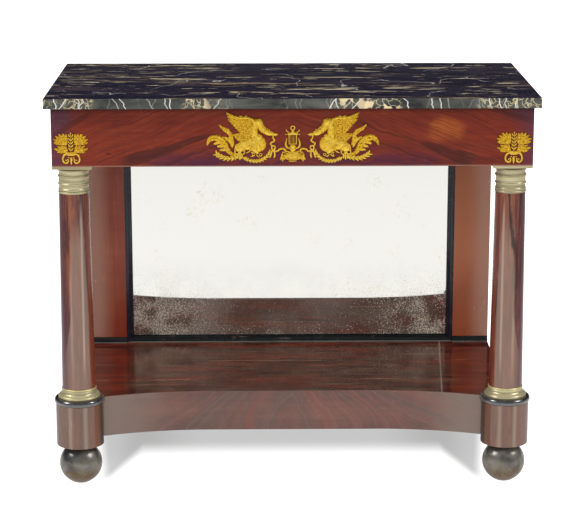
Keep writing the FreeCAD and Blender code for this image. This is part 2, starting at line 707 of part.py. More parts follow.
screws = []
block_screw_length = column_block_side + side_rail_thickness / 2
for side in (-1, 1):
    y_screw = y_front_rail_back + column_block_side * 0.8
    for z in (z_frieze + column_block_height * 0.3, z_frieze + column_block_height * 0.8):
        screws.append(screw(side * x_column_block, y_screw, z, point(side, 0, 0), block_screw_length))
fix(["column_block_left", "column_block_right", "frieze_side_left", "frieze_side_right"],
    screws, "column_block_screws")

screws = []
for side in (-1, 1):
    for z in (z_apron + plinth_screw_inset, z_board - plinth_screw_inset):
        x = side * (column_x - plinth_radius / 2)
        screws.append(screw(x, y_block_back, z, point(0, -1, 0), shelf_block_width + plinth_radius / 2))
fix(["shelf_block_left", "shelf_block_right", "plinth_left", "plinth_right"], screws, "plinth_screws")

# ---------------------------------------------------------------- write the pieces
for name in sorted(pieces):
    shape = pieces[name]
    if len(shape.Solids) == 1:
        shape = shape.Solids[0]
    shape.exportStep("parts/" + name + ".step")
    print(name, len(shape.Solids), round(shape.Volume), shape.isValid())
box = group(list(pieces.values())).BoundBox
print("box", round(box.XMin, 2), round(box.XMax, 2), round(box.YMin, 2), round(box.YMax, 2),
      round(box.ZMin, 2), round(box.ZMax, 2), "pieces", len(pieces))
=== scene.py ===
import math

import bmesh
import bpy
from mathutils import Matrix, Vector


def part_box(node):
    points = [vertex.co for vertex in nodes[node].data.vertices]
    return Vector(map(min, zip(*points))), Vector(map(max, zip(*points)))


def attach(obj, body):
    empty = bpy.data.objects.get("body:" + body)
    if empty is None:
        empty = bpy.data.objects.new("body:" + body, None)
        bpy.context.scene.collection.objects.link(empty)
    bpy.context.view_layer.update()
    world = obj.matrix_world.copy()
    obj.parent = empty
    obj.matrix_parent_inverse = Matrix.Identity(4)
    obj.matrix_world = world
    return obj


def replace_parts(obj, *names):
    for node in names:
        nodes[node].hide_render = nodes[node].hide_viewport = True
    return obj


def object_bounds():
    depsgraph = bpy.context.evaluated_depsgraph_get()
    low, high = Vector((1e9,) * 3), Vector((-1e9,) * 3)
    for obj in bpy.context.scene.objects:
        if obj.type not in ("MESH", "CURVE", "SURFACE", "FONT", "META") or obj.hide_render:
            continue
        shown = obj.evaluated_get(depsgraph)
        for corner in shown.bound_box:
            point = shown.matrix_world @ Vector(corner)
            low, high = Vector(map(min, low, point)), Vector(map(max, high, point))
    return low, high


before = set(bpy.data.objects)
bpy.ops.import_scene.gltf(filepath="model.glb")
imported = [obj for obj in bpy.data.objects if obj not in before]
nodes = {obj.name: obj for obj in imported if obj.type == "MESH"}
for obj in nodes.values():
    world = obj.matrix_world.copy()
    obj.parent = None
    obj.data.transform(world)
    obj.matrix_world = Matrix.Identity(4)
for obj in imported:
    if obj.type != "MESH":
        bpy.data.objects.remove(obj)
cad_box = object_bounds()


# ---------------------------------------------------------------- marble slab
# The slab is black-and-gold marble, sawn across its bed: long gold and brown streaks run along
# the polished top. The sawn edge is greyer, with white hairlines and cream patches.


def paint(red, green, blue):
    """A colour mixed in 0-255 display values, as the linear values that shaders take."""
    shown = [c / 255 for c in (red, green, blue)]
    return (*[c / 12.92 if c <= 0.04045 else ((c + 0.055) / 1.055) ** 2.4 for c in shown], 1)


class Varying:
    """A value, colour or place that changes over a surface. Reckoning with it adds Math nodes."""

    def __init__(self, socket):
        self.socket = socket

    def __add__(self, other):
        return reckon("ADD", self, other)

    def __sub__(self, other):
        return reckon("SUBTRACT", self, other)

    def __rsub__(self, other):
        return reckon("SUBTRACT", other, self)

    def __mul__(self, other):
        return reckon("MULTIPLY", self, other)

    def __truediv__(self, other):
        return reckon("DIVIDE", self, other)

    def __abs__(self):
        return reckon("ABSOLUTE", self)


def work_in(node_tree):
    """From here on, nodes go in this tree."""
    global tree
    tree = node_tree


def node(kind, feeds, **settings):
    """Puts a shader node in the tree, and gives its outputs by number and by name. Its inputs take
    plain values or what other nodes put out."""
    made = tree.nodes.new("ShaderNode" + kind)
    for key, value in settings.items():
        setattr(made, key, value)
    for key, value in feeds.items():
        if isinstance(value, Varying):
            tree.links.new(value.socket, made.inputs[key])
        else:
            made.inputs[key].default_value = value
    return {key: Varying(output) for i, output in enumerate(made.outputs) for key in (i, output.name)}


def reckon(operation, *values):
    """What a Math node makes of the values."""
    return node("Math", dict(enumerate(values)), operation=operation)[0]


def new_material(name):
    """A fresh material, and where its surface lies in the table's own frame, in metres."""
    made = bpy.data.materials.new(name)
    made.use_nodes = True
    made.node_tree.nodes.clear()
    work_in(made.node_tree)
    return made, node("TexCoord", {})["Object"]


def parts(place):
    """How far a place lies across, back and up."""
    split = node("SeparateXYZ", {0: place})
    return split[0], split[1], split[2]


def stretch(place, scale=(1, 1, 1), shift=(0, 0, 0), turn=(0, 0, 0)):
    """The place turned, scaled and shifted."""
    return node("Mapping", {"Vector": place, "Scale": scale, "Location": shift, "Rotation": turn})[0]


def clouds(place, scale, detail=4, coarse=0.55, swirl=0, **moved):
    """Cloudy noise from 0 to 1. A scale for each of the three ways draws the clouds out."""
    if isinstance(scale, tuple):
        place = stretch(place, scale, **moved)
        scale = 1
    feeds = {"Vector": place, "Scale": scale, "Detail": detail, "Roughness": coarse, "Distortion": swirl}
    return node("TexNoise", feeds)["Fac"]


def pushed(place, amount, scale, detail):
    """The place pushed about by noise, so that what is laid on it wanders."""
    push = node("TexNoise", {"Vector": place, "Scale": scale, "Detail": detail})["Color"]
    return node("MixRGB", {0: amount, 1: place, 2: push}, blend_type="LINEAR_LIGHT")[0]


def rise(value, start, end):
    """0 below the start, 1 above the end and smooth between. A start past the end falls instead."""
    if start > end:
        return 1 - rise(value, end, start)
    feeds = {"Value": value, "From Min": start, "From Max": end}
    return node("MapRange", feeds, interpolation_type="SMOOTHSTEP")[0]


def vein(value, level, width):
    """A thin line where a cloudy value crosses a level."""
    return rise(abs(value - level), width, 0)


def mixed(share, under, over):
    """Colour 'over' laid on colour 'under' where the share is 1."""
    return node("Mix", {0: share, 6: under, 7: over}, data_type="RGBA")[2]


def surface(colour, roughness, height=None, relief=0.001, **sockets):
    """The Principled shader with a bump from the height; constants go straight on its sockets."""
    feeds = {"Base Color": colour, "Roughness": roughness}
    for name, value in sockets.items():
        feeds[name.replace("_", " ")] = value
    if height is not None:
        feeds["Normal"] = node("Bump", {"Height": height, "Strength": 1, "Distance": relief})[0]
    node("OutputMaterial", {0: node("BsdfPrincipled", feeds)[0]})


def dress(material, *names):
    """Gives CAD pieces their finish, in every material slot that they have."""
    for name in names:
        mesh = nodes[name].data
        if not mesh.materials:
            mesh.materials.append(material)
        for slot in range(len(mesh.materials)):
            mesh.materials[slot] = material


HAIRLINE_HALF, HAIRLINE_CORE = 0.0019, 0.0003


def black_gold_marble():
    material, place = new_material("black_gold_marble")
    bent = pushed(place, 0.014, scale=7, detail=3)
    ground = clouds(bent, (3, 34, 34), detail=5, coarse=0.62)
    top = mixed(rise(ground, 0.36, 0.68), paint(9, 7, 36), paint(42, 36, 56))
    grit = rise(clouds(bent, (36, 190, 190), detail=3, coarse=0.6), 0.36, 0.56) * 0.4 + 0.6
    # beds of short streaks: scale along and across them, where they start to show, share and colour
    for along, crosswise, start, share, tint in ((3, 52, 0.55, 0.5, paint(100, 84, 82)),
                                                 (4.2, 36, 0.59, 0.8, paint(168, 142, 106)),
                                                 (5, 38, 0.605, 0.95, paint(246, 228, 184)),
                                                 (9, 60, 0.6, 0.95, paint(240, 220, 180))):
        beds = clouds(bent, (1, crosswise * 0.22, 1), detail=2, shift=(crosswise, 0, 0))
        drawn_out = (along, crosswise, crosswise)
        streak = clouds(bent, drawn_out, detail=5, coarse=0.64, shift=(0, crosswise, 0))
        shown = rise(streak, start, start + 0.025) * rise(beds, 0.44, 0.54) * grit * share
        top = mixed(shown, top, tint)
    cracks = clouds(place, (5, 3.4, 3.4), coarse=0.45, shift=(1, 4, 2), turn=(0, 0, 0.5))
    where_cracks = rise(clouds(place, 6.5, detail=2), 0.46, 0.52)
    hair = vein(cracks, 0.5, 0.0042) * where_cracks * 0.9
    top = mixed(hair, top, paint(226, 220, 210))

    sawn = clouds(place, (8, 8, 22), detail=5, coarse=0.6, swirl=0.4)
    edge = mixed(rise(sawn, 0.3, 0.72), paint(38, 42, 42), paint(100, 101, 95))
    across, depth, up = parts(place)
    wobble = clouds(place, (8, 8, 34), detail=3) - 0.5
    # one near-upright hairline in some of the cells along the edge: cell width, lean, luck and seed
    for pitch, lean, shown, seed in ((0.03, 0.35, 0.55, 0), (0.052, -0.5, 0.5, 40), (0.021, 0.1, 0.7, 90)):
        run = (up * lean + across + depth + wobble * 0.03) / pitch
        luck = node("TexWhiteNoise", {"W": reckon("FLOOR", run) + seed}, noise_dimensions="1D")
        off = reckon("FRACT", run) - (luck["Value"] * 0.5 + 0.25)
        line = rise(abs(off), HAIRLINE_HALF / pitch, HAIRLINE_CORE / pitch)
        picked = rise(parts(luck["Color"])[1], shown, shown + 0.3)
        edge = mixed(line * picked, edge, paint(232, 230, 222))
    crowd = rise(clouds(place, (5, 5, 1), detail=1, shift=(4, 0, 0)), 0.56, 0.62)
    shards = {"Vector": pushed(place, 0.02, scale=40, detail=2), "Scale": 62}
    web = node("TexVoronoi", shards, feature="DISTANCE_TO_EDGE")["Distance"]
    edge = mixed(rise(web, 0.07, 0.02) * crowd * 0.85, edge, paint(214, 198, 160))
    patch = rise(parts(node("TexVoronoi", shards)["Color"])[0], 0.86, 0.9)
    edge = mixed(patch * crowd, edge, paint(232, 210, 168))

    faces_up = rise(parts(node("NewGeometry", {})["Normal"])[2], 0.55, 0.8)
    dull = clouds(place, 60, detail=5, coarse=0.6)
    surface(mixed(faces_up, edge, top), dull * 0.12 + 0.08, dull, relief=0.00006, Specular_IOR_Level=0.12)
    return material


dress(black_gold_marble(), "marble_slab")


# ---------------------------------------------------------------- frieze veneer and sides
# The frieze is one sheet of crotch mahogany glued on a softwood box. Its dark flames climb from
# both ends to the middle, and old shellac has gone purple along the lower edge.


def new_group(name, inputs):
    """Starts a shader node group with named inputs, and gives what comes in."""
    work_in(bpy.data.node_groups.new(name, "ShaderNodeTree"))
    for label, kind in inputs.items():
        tree.interface.new_socket(label, in_out="INPUT", socket_type="NodeSocket" + kind)
    return {socket.name: Varying(socket) for socket in tree.nodes.new("NodeGroupInput").outputs}


def end_group(colours=(), **floats):
    """Gives the group its named outputs."""
    group_end = tree.nodes.new("NodeGroupOutput")
    for kind, outputs in (("Color", dict(colours)), ("Float", floats)):
        for label, value in outputs.items():
            tree.interface.new_socket(label, in_out="OUTPUT", socket_type="NodeSocket" + kind)
            tree.links.new(value.socket, group_end.inputs[label])
    return tree


def build_wood_grain():
    """Streaks, fibres and pores of a straight-grained hardwood whose grain runs along X."""
    given = new_group("wood_grain", {"Place": "Vector", "Dark": "Color", "Deep": "Color", "Pale": "Color",
                                     "Figure": "Float", "Pores": "Float"})
    place = given["Place"]
    broad = clouds(place, (1.65, 22.5, 22.5), detail=5, swirl=0.35)
    fibres = clouds(place, (6.4, 192, 192), coarse=0.6)
    mottle = (clouds(place, (26, 7, 7), detail=3, coarse=0.5, swirl=0.7) - 0.5) * given["Figure"]
    tone = fibres * 0.35 + broad * 0.65 + mottle
    colour = mixed(rise(tone, 0.34, 0.5), given["Dark"], given["Deep"])
    colour = mixed(rise(tone, 0.48, 0.68), colour, given["Pale"])
    pore = rise(clouds(place, (45, 1500, 1500), detail=2, coarse=0.5), 0.6, 0.72) * given["Pores"]
    return end_group({"Colour": mixed(pore * 0.55, colour, given["Dark"])}, Height=fibres * 0.4 - pore)


def build_old_polish():
    """Handled shellac: cloudy dull patches, and fine scratches along and across the piece."""
    given = new_group("old_polish", {"Place": "Vector", "Scratches": "Float"})
    place = given["Place"]
    haze = clouds(place, 9, detail=5, coarse=0.6, swirl=0.5)
    smear = clouds(place, 55, detail=3, coarse=0.5)
    lines = 0
    for tilt, level in ((0.12, 0.5), (1.35, 0.46), (-0.4, 0.55)):
        strand = clouds(place, (5, 120, 120), detail=2, shift=(tilt, 0, 0), turn=(0, tilt, tilt))
        lines = reckon("MAXIMUM", lines, vein(strand, level, 0.012))
    lines = lines * rise(clouds(place, 14, detail=3), 0.56, 0.7) * given["Scratches"]
    return end_group(Dullness=haze * 0.7 + smear * 0.3, Scratch=lines, Height=smear * 0.25 - lines)


wood_grain = build_wood_grain()
old_polish = build_old_polish()
GRAIN_ALONG = {"X": (0, 1, 2), "Y": (1, 0, 2), "Z": (2, 0, 1)}


def grain_place(place, along, shift):
    """Turns the place so that its first part runs along the grain."""
    split = parts(place)
    turned = node("CombineXYZ", {i: split[part] for i, part in enumerate(GRAIN_ALONG[along])})[0]
    return stretch(turned, shift=(shift, shift * 0.7, shift * 0.3))


def grained(turned, dark, deep, pale, figure, pores):
    """The wood grain group, placed with this wood's own colours."""
    feeds = {"Place": turned, "Dark": dark, "Deep": deep, "Pale": pale, "Figure": figure, "Pores": pores}
    return node("Group", feeds, node_tree=wood_grain)


def polished(turned, scratches):
    """The old polish group, placed with this piece's own share of scratches."""
    return node("Group", {"Place": turned, "Scratches": scratches}, node_tree=old_polish)


def mahogany(name, along, dark, deep, pale, figure=0.3, polish=0.5, dull=(0.16, 0.34), scratches=0.4,
             shift=0, stain=None, shine=0.5):
    """French-polished mahogany. The stain, if any, alters the colour where this piece differs."""
    material, place = new_material(name)
    turned = grain_place(place, along, shift)
    wood = grained(turned, dark, deep, pale, figure, 0.5)
    worn = polished(turned, scratches)
    colour = stain(place, wood["Colour"]) if stain else wood["Colour"]
    colour = mixed(worn["Scratch"] * 0.35, colour, paint(205, 180, 160))
    roughness = worn["Dullness"] * (dull[1] - dull[0]) + dull[0] + worn["Scratch"] * 0.2
    height = worn["Height"] * 0.4 + wood["Height"] * 0.3
    surface(colour, roughness, height, relief=0.00009, Specular_IOR_Level=shine, Coat_Weight=polish,
            Coat_Roughness=0.12, Coat_IOR=1.5)
    return material


veneer_low, veneer_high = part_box("frieze_veneer")
# the glow lies across and up from the frame's origin; the rest are distances from the veneer's edges
GLOW_MIDDLE, GLOW_HALF = (0.344, 0.848), (0.032, 0.022)
PURPLE_TOP, PURPLE_FULL, PURPLE_ENDS = 0.056, 0.012, 0.07
WORN_EDGE_TOP, WORN_EDGE_FULL = 0.0035, 0.001


def frieze_flames(place, colour):
    across, _, up = parts(place)
    from_middle = abs(across)
    warp = clouds(place, 9) - 0.5

    # rays of crotch figure climb from both sides to the middle
    sweep = from_middle * 0.4 + up + warp * 0.03
    for along, crosswise, start, end, share, tint in ((2, 26, 0.5, 0.7, 0.45, paint(84, 30, 28)),
                                                      (2.6, 44, 0.5, 0.3, 0.45, paint(138, 58, 30)),
                                                      (4, 130, 0.5, 0.64, 0.4, paint(78, 30, 28)),
                                                      (6, 300, 0.5, 0.6, 0.4, paint(76, 30, 30)),
                                                      (8, 480, 0.5, 0.38, 0.3, paint(150, 70, 42))):
        fanned = node("CombineXYZ", {0: across * along, 1: crosswise, 2: sweep * crosswise})[0]
        rays = clouds(fanned, 1, detail=5, coarse=0.6, swirl=0.15)
        colour = mixed(rise(rays, start, end) * share, colour, tint)

    # a patch of the right half glows lighter and warmer
    glow_x = (across - GLOW_MIDDLE[0]) / GLOW_HALF[0]
    glow_z = (up - GLOW_MIDDLE[1]) / GLOW_HALF[1]
    blotch = clouds(place, 34, coarse=0.6) - 0.5
    glow = glow_x * glow_x + glow_z * glow_z + blotch * 3 + warp * 2
    glow = rise(glow, 2.8, -0.6) * rise(rays, 0.7, 0.35)
    colour = mixed(glow * 0.8, colour, paint(178, 98, 40))
    # the shellac has gone purple in swirls low down, and at both ends
    low = rise(warp * 0.05 + up, veneer_low.z + PURPLE_TOP, veneer_low.z + PURPLE_FULL)
    swirls = rise(clouds(place, (9, 9, 30), detail=5, coarse=0.6, swirl=1.6), 0.36, 0.56)
    low = low * reckon("MAXIMUM", swirls, 0.3) * rise(from_middle, 0.36, 0.3)
    colour = mixed(low * 0.8, colour, paint(68, 30, 54))
    end = rise(warp * 0.12 + from_middle, veneer_high.x - PURPLE_ENDS, veneer_high.x)
    colour = mixed(end * 0.75, colour, paint(88, 50, 68))
    high_end = rise(warp * 0.3 + from_middle, 0.42, 0.54) * rise(warp * 0.1 + up, 0.85, 0.885) * 0.5
    colour = mixed(high_end, colour, paint(74, 42, 52))

    # dark tongues: side, nearest and farthest from the middle, height, slope, bend, half thickness
    # at their two ends, and share
    streaky = rise(rays, 0.4, 0.6) * 0.35 + 0.65
    for side, near, far, height, slope, bend, thin, thick, share in (
            (-1, 0.175, 0.405, 0.843, -0.29, -0.2, 0.003, 0.019, 0.85),
            (-1, 0.14, 0.33, 0.82, -0.2, -0.9, 0.002, 0.006, 0.5),
            (-1, 0.44, 0.56, 0.895, -0.55, 0, 0.006, 0.01, 0.6),
            (1, 0.275, 0.43, 0.829, -0.4, -0.1, 0.003, 0.025, 0.9),
            (1, 0.13, 0.3, 0.87, -0.29, 0, 0.002, 0.004, 0.6),
            (1, 0.15, 0.36, 0.838, -0.36, 0.1, 0.002, 0.004, 0.6),
            (1, 0.44, 0.56, 0.9, -0.3, 0, 0.004, 0.012, 0.5)):
        run = across * side - near
        spine = run * run * bend + run * slope + height
        off = abs(warp * 0.03 + up - spine)
        half = run * ((thick - thin) / (far - near)) + thin
        tongue = rise(off / half, 1.15, 0.75) * rise(run, 0, 0.03) * rise(run, far - near, far - near - 0.04)
        colour = mixed(tongue * streaky * share, colour, paint(60, 26, 22))

    edge_wear = rise(up, veneer_low.z + WORN_EDGE_TOP, veneer_low.z + WORN_EDGE_FULL)
    colour = mixed(edge_wear * 0.45, colour, paint(176, 140, 120))
    knots = rise(clouds(place, (30, 30, 50), detail=1), 0.75, 0.8)
    return mixed(knots * 0.6, colour, paint(56, 26, 26))


FRIEZE_RED = (paint(98, 34, 24), paint(118, 41, 25), paint(136, 54, 29))
dress(mahogany("frieze_flame_veneer", "X", *FRIEZE_RED, figure=0.2, polish=0.05, shine=0.2, scratches=0.15,
               stain=frieze_flames), "frieze_veneer")
dress(mahogany("frieze_side_veneer", "Y", paint(90, 38, 30), paint(110, 50, 36), paint(132, 66, 44),
               figure=0.4, polish=0.3, shine=0.35, shift=3), "frieze_side_left", "frieze_side_right")


# ---------------------------------------------------------------- hidden frame
# Rails, braces, blocks and the backboard are pine, sawn and planed by hand and left bare. Two
# centuries have browned them unevenly.


def bare_pine(name, along, shift):
    material, place = new_material(name)
    turned = grain_place(place, along, shift)
    wood = grained(turned, paint(96, 66, 42), paint(150, 108, 70), paint(182, 142, 98), 0.15, 0.2)
    rings = clouds(turned, (0.8, 40, 40), detail=3, coarse=0.5, swirl=0.6)
    colour = mixed(vein(rings, 0.5, 0.05) * 0.5, wood["Colour"], paint(110, 70, 42))
    grime = rise(clouds(place, 8, detail=5, coarse=0.65), 0.45, 0.75)
    colour = mixed(grime * 0.5, colour, paint(72, 52, 38))
    saw_marks = clouds(turned, (260, 14, 14), detail=2)
    surface(colour, grime * 0.12 + 0.72, saw_marks * 0.35 + wood["Height"], relief=0.0003,
            Specular_IOR_Level=0.25)
    return material


dress(bare_pine("pine_rails", "X", 0), "frieze_front_rail", "frieze_back_rail", "shelf_back_rail",
      "frieze_glue_blocks", "shelf_glue_blocks", "mirror_head_rail", "apron_core")
dress(bare_pine("pine_blocks", "Y", 5), "frieze_braces", "shelf_block_left", "shelf_block_right")
dress(bare_pine("pine_upright", "Z", 9), "mirror_backboard", "column_block_left", "column_block_right",
      "rear_foot_block_left", "rear_foot_block_right")


# ---------------------------------------------------------------- columns and plinths
# Each column is turned in one piece of straight mahogany, and its tenons run up into the frieze
# and down into the plinth. The plinth is a drum of the same wood. Both are French-polished.
PLUM = (paint(80, 40, 42), paint(106, 52, 44), paint(126, 66, 46))
shaft_low, shaft_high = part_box("column_shaft_right")
column_across = (shaft_low.x + shaft_high.x) / 2
column_depth = (shaft_low.y + shaft_high.y) / 2
shaft_half = shaft_high.x - column_across
plinth_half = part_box("plinth_right")[1].x - column_across


def turned_face(place, half):
    """Where a spot lies on a turned piece: -1 outermost to 1 innermost, 1 in front, and its height
    and place across."""
    across, depth, up = parts(place)
    inward = column_across - abs(across)
    in_front = rise(depth, column_depth + 0.005, column_depth - 0.012)
    return inward / half, in_front, up, across


def turned_ribbons(place, colour):
    for frequency, start, end, share, tint in ((34, 0.5, 0.64, 0.7, paint(70, 34, 40)),
                                               (44, 0.48, 0.36, 0.55, paint(144, 78, 46)),
                                               (110, 0.52, 0.62, 0.7, paint(50, 24, 28)),
                                               (240, 0.46, 0.36, 0.4, paint(150, 92, 64))):
        drawn_out = (frequency, frequency, frequency * 0.08)
        ribbons = clouds(place, drawn_out, detail=3, coarse=0.5, swirl=0.5, shift=(frequency, 0, 0))
        colour = mixed(rise(ribbons, start, end) * share, colour, tint)
    nicks = clouds(place, (90, 90, 160), detail=1)
    return mixed(rise(nicks, 0.77, 0.8), colour, paint(52, 28, 26))


def shaft_stain(place, colour):
    colour = turned_ribbons(place, colour)
    inward, in_front, up, across = turned_face(place, shaft_half)
    # painted reflection: a pale haze band down the front that widens near the foot; the inner side is painted
    # warmer
    warp = clouds(place, (70, 70, 7))
    outer = rise(up, 0.44, 0.25) * -0.6 - 0.55 + warp * 0.45
    inner = rise(up, 0.7, 0.34) * 0.2 + 0.56
    painted_haze_band = rise(inward - outer, 0, 0.1) * rise(inner - inward, -0.04, 0.08) * in_front
    strength = rise(up, 0.66, 0.56) * 0.5 + 0.07
    colour = mixed(painted_haze_band * rise(up, 0.72, 0.68) * strength, colour, paint(148, 124, 108))
    # painted highlights: two pale upright lines along the haze band
    for spot, wide, top, share in ((0.44, 0.1, 0.7, 0.4), (-0.26, 0.12, 0.56, 0.22)):
        line = rise(abs(inward - spot), wide, 0.02) * in_front
        line = line * rise(up, top, top - 0.07) * rise(up, 0.24, 0.34)
        colour = mixed(line * share, colour, paint(196, 180, 166))
    streaks = clouds(place, (70, 70, 4), coarse=0.6, shift=(7, 0, 0))
    # painted reflection of the nearby red wood: the inner side is warmer, with dark streaks in it
    painted_warm_reflection = rise(inward - inner, 0.02, 0.1) * 0.6
    colour = mixed(painted_warm_reflection, colour, paint(128, 56, 28))
    colour = mixed(painted_warm_reflection * rise(streaks, 0.5, 0.62), colour, paint(60, 26, 18))
    # painted shade: the outer side is darker
    colour = mixed(rise(inward, -0.3, -0.75) * 0.7, colour, paint(74, 33, 42))
    # the right column's outer side is streaked almost black, with one long crack
    black = rise(inward, -0.1, -0.4) * rise(across, 0, 0.1) * rise(up, 0.34, 0.5)
    colour = mixed(black * rise(streaks, 0.48, 0.58) * 0.75, colour, paint(46, 22, 22))
    off = abs(inward + warp * 0.5 + up * -2.6 + 1.42)
    crack = rise(off, 0.1, 0.04) * rise(up, 0.54, 0.58) * rise(across, 0, 0.1) * in_front
    return mixed(crack * 0.85, colour, paint(34, 20, 24))


def plinth_stain(place, colour):
    colour = turned_ribbons(place, colour)
    inward, in_front, _, _ = turned_face(place, plinth_half)
    # painted reflection: a pale haze across the front
    painted_haze = rise(inward, -0.94, -0.8) * rise(inward, 0.74, 0.62) * in_front * 0.55
    colour = mixed(painted_haze, colour, paint(124, 104, 90))
    # painted highlights: two pale upright lines on the front
    for spot in (-0.32, 0.32):
        line = rise(abs(inward - spot), 0.14, 0.02)
        colour = mixed(line * in_front * 0.35, colour, paint(176, 160, 142))
    # painted reflection of the nearby red wood: an orange band near the inner side
    colour = mixed(rise(inward, 0.66, 0.76) * 0.85, colour, paint(100, 58, 28))
    # painted shade: a dark band along the inner edge
    return mixed(rise(inward, 0.87, 0.93) * 0.9, colour, paint(40, 16, 10))


dress(mahogany("column_mahogany", "Z", *PLUM, polish=0.3, shine=0.35, dull=(0.14, 0.3), scratches=0.2,
               stain=shaft_stain), "column_shaft_left", "column_shaft_right")
dress(mahogany("plinth_mahogany", "Z", *PLUM, polish=0.35, shine=0.35, dull=(0.14, 0.3), shift=2,
               stain=plinth_stain), "plinth_left", "plinth_right")


# ---------------------------------------------------------------- brass capitals and collars
# The abacus is a cast brass plate; capital and collar are spun brass sleeves slid over the necks
# of the column. The lacquer has gone, and greenish tarnish sits between the bright worn rings.
collar_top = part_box("base_collar_right")[1].z
PAINTED_HIGHLIGHT_FOOT, PAINTED_HIGHLIGHT_FULL = 0.006, 0.002


def worn_brass(name, bright, tarnish, rubbed, metal):
    material, place = new_material(name)
    up = parts(place)[2]
    dirt = clouds(place, (4.5, 4.5, 90), detail=6, coarse=0.58)
    colour = mixed(rise(dirt, 0.36, 0.64), bright, tarnish)
    spun = clouds(place, (0.8, 0.8, 300), detail=3)
    colour = mixed(rise(spun, 0.52, 0.62) * 0.5, colour, rubbed)
    colour = mixed(rise(spun, 0.46, 0.36) * 0.4, colour, paint(138, 128, 84))
    # painted highlight: the collar's top ring is painted bright
    ring = rise(up, collar_top - PAINTED_HIGHLIGHT_FOOT, collar_top - PAINTED_HIGHLIGHT_FULL) * rise(up, 0.3, 0.28)
    colour = mixed(ring * 0.4, colour, paint(246, 234, 150))
    spots = rise(clouds(place, 260, detail=2), 0.66, 0.74)
    colour = mixed(spots * 0.45, colour, paint(104, 94, 70))
    surface(colour, dirt * 0.25 + 0.26, spun * 0.5 + dirt * 0.3, relief=0.00005, Metallic=metal)
    return material


turned_brass = worn_brass("turned_brass", paint(206, 194, 156), paint(176, 166, 136),
                          paint(240, 228, 172), metal=0.65)
plate_brass = worn_brass("plate_brass", paint(208, 194, 156), paint(174, 160, 124),
                         paint(226, 214, 176), metal=0.5)
dress(turned_brass, "capital_left", "capital_right", "base_collar_left", "base_collar_right")
dress(plate_brass, "abacus_left", "abacus_right")


# ---------------------------------------------------------------- ebonised wood
# The rings round the plinth tops and the mouldings round the mirror are pearwood stained black
# and varnished. The stain is rubbed brown where dusters catch the edges.


WORN_FOOT_TOP, WORN_FOOT_FULL = 0.0035, 0.0015


def ebonised(name, along, black, sheen, varnish, shine=0.5, foot=None):
    """Black-stained wood under varnish. Where a foot is given, the edge at that height is worn grey."""
    material, place = new_material(name)
    turned = grain_place(place, along, 1)
    worn = polished(turned, 0.8)
    fibres = clouds(turned, (5, 160, 160), detail=3)
    colour = mixed(rise(fibres, 0.35, 0.7), black, sheen)
    rubbed = rise(clouds(place, 38, detail=5, coarse=0.6), 0.62, 0.74)
    colour = mixed(rubbed * 0.5, colour, paint(84, 62, 48))
    colour = mixed(worn["Scratch"] * 0.6, colour, paint(120, 112, 104))
    if foot is not None:
        edge = rise(parts(place)[2], foot + WORN_FOOT_TOP, foot + WORN_FOOT_FULL)
        colour = mixed(edge * rise(fibres, 0.3, 0.5) * 0.7, colour, paint(122, 126, 120))
    roughness = worn["Dullness"] * 0.2 + 0.16
    height = clouds(place, 60, detail=1) * 5 + worn["Height"]
    surface(colour, roughness, height, relief=0.00006, Specular_IOR_Level=shine, Coat_Weight=varnish,
            Coat_Roughness=0.12, Coat_IOR=1.3 + 0.5 * shine)
    return material


dress(ebonised("ebonised_ring", "Z", paint(34, 32, 36), paint(58, 56, 58), varnish=1, shine=1),
      "black_ring_left", "black_ring_right")
moulding_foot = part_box("mirror_moulding_bottom")[0].z
dress(ebonised("ebonised_level", "X", paint(10, 13, 15), paint(24, 28, 30), varnish=0.15, foot=moulding_foot),
      "mirror_moulding_bottom", "mirror_moulding_top", "pilaster_foot_moulding_left",
      "pilaster_foot_moulding_right")
dress(ebonised("ebonised_upright", "Z", paint(16, 18, 32), paint(30, 32, 46), varnish=0.2),
      "mirror_moulding_left", "mirror_moulding_right")


# ---------------------------------------------------------------- ball feet
# The feet are turned balls with a dark bronzed paint over gesso. The paint turns a
# brown ochre towards the floor, and faint turning lines ring the ball.


def bronzed_paint():
    material, place = new_material("bronzed_paint")
    up = parts(place)[2]
    patches = clouds(place, 22, detail=6, coarse=0.62, swirl=0.6)
    colour = mixed(rise(patches, 0.35, 0.68), paint(72, 72, 72), paint(132, 127, 118))
    ochre = rise((patches - 0.5) * 0.04 + up, 0.054, 0.024)
    colour = mixed(ochre * 0.95, colour, paint(96, 70, 32))
    worn = rise(clouds(place, 60, detail=5, coarse=0.65), 0.5, 0.62) * rise(up, 0.078, 0.05)
    colour = mixed(worn * 0.5, colour, paint(124, 112, 78))
    lathe = clouds(place, (3, 3, 420), detail=2)
    colour = mixed(rise(lathe, 0.6, 0.72) * 0.3, colour, paint(104, 98, 84))
    chips = rise(clouds(place, 120, detail=3), 0.72, 0.76)
    colour = mixed(chips, colour, paint(30, 28, 26))
    surface(colour, patches * 0.2 + 0.24, lathe * 0.5 + patches, relief=0.00012, Metallic=0.6,
            Coat_Weight=0.7, Coat_Roughness=0.18)
    return material


dress(bronzed_paint(), "front_foot_left", "front_foot_right", "rear_foot_left", "rear_foot_right")


# ---------------------------------------------------------------- shelf and curved apron
# The shelf board is veneered dark red and polished hard. The apron below its edge is a curved
# pine core with a sheet of crotch mahogany bent round it. Its side rails are plain mahogany.


ARCH_FOOT = 0.105


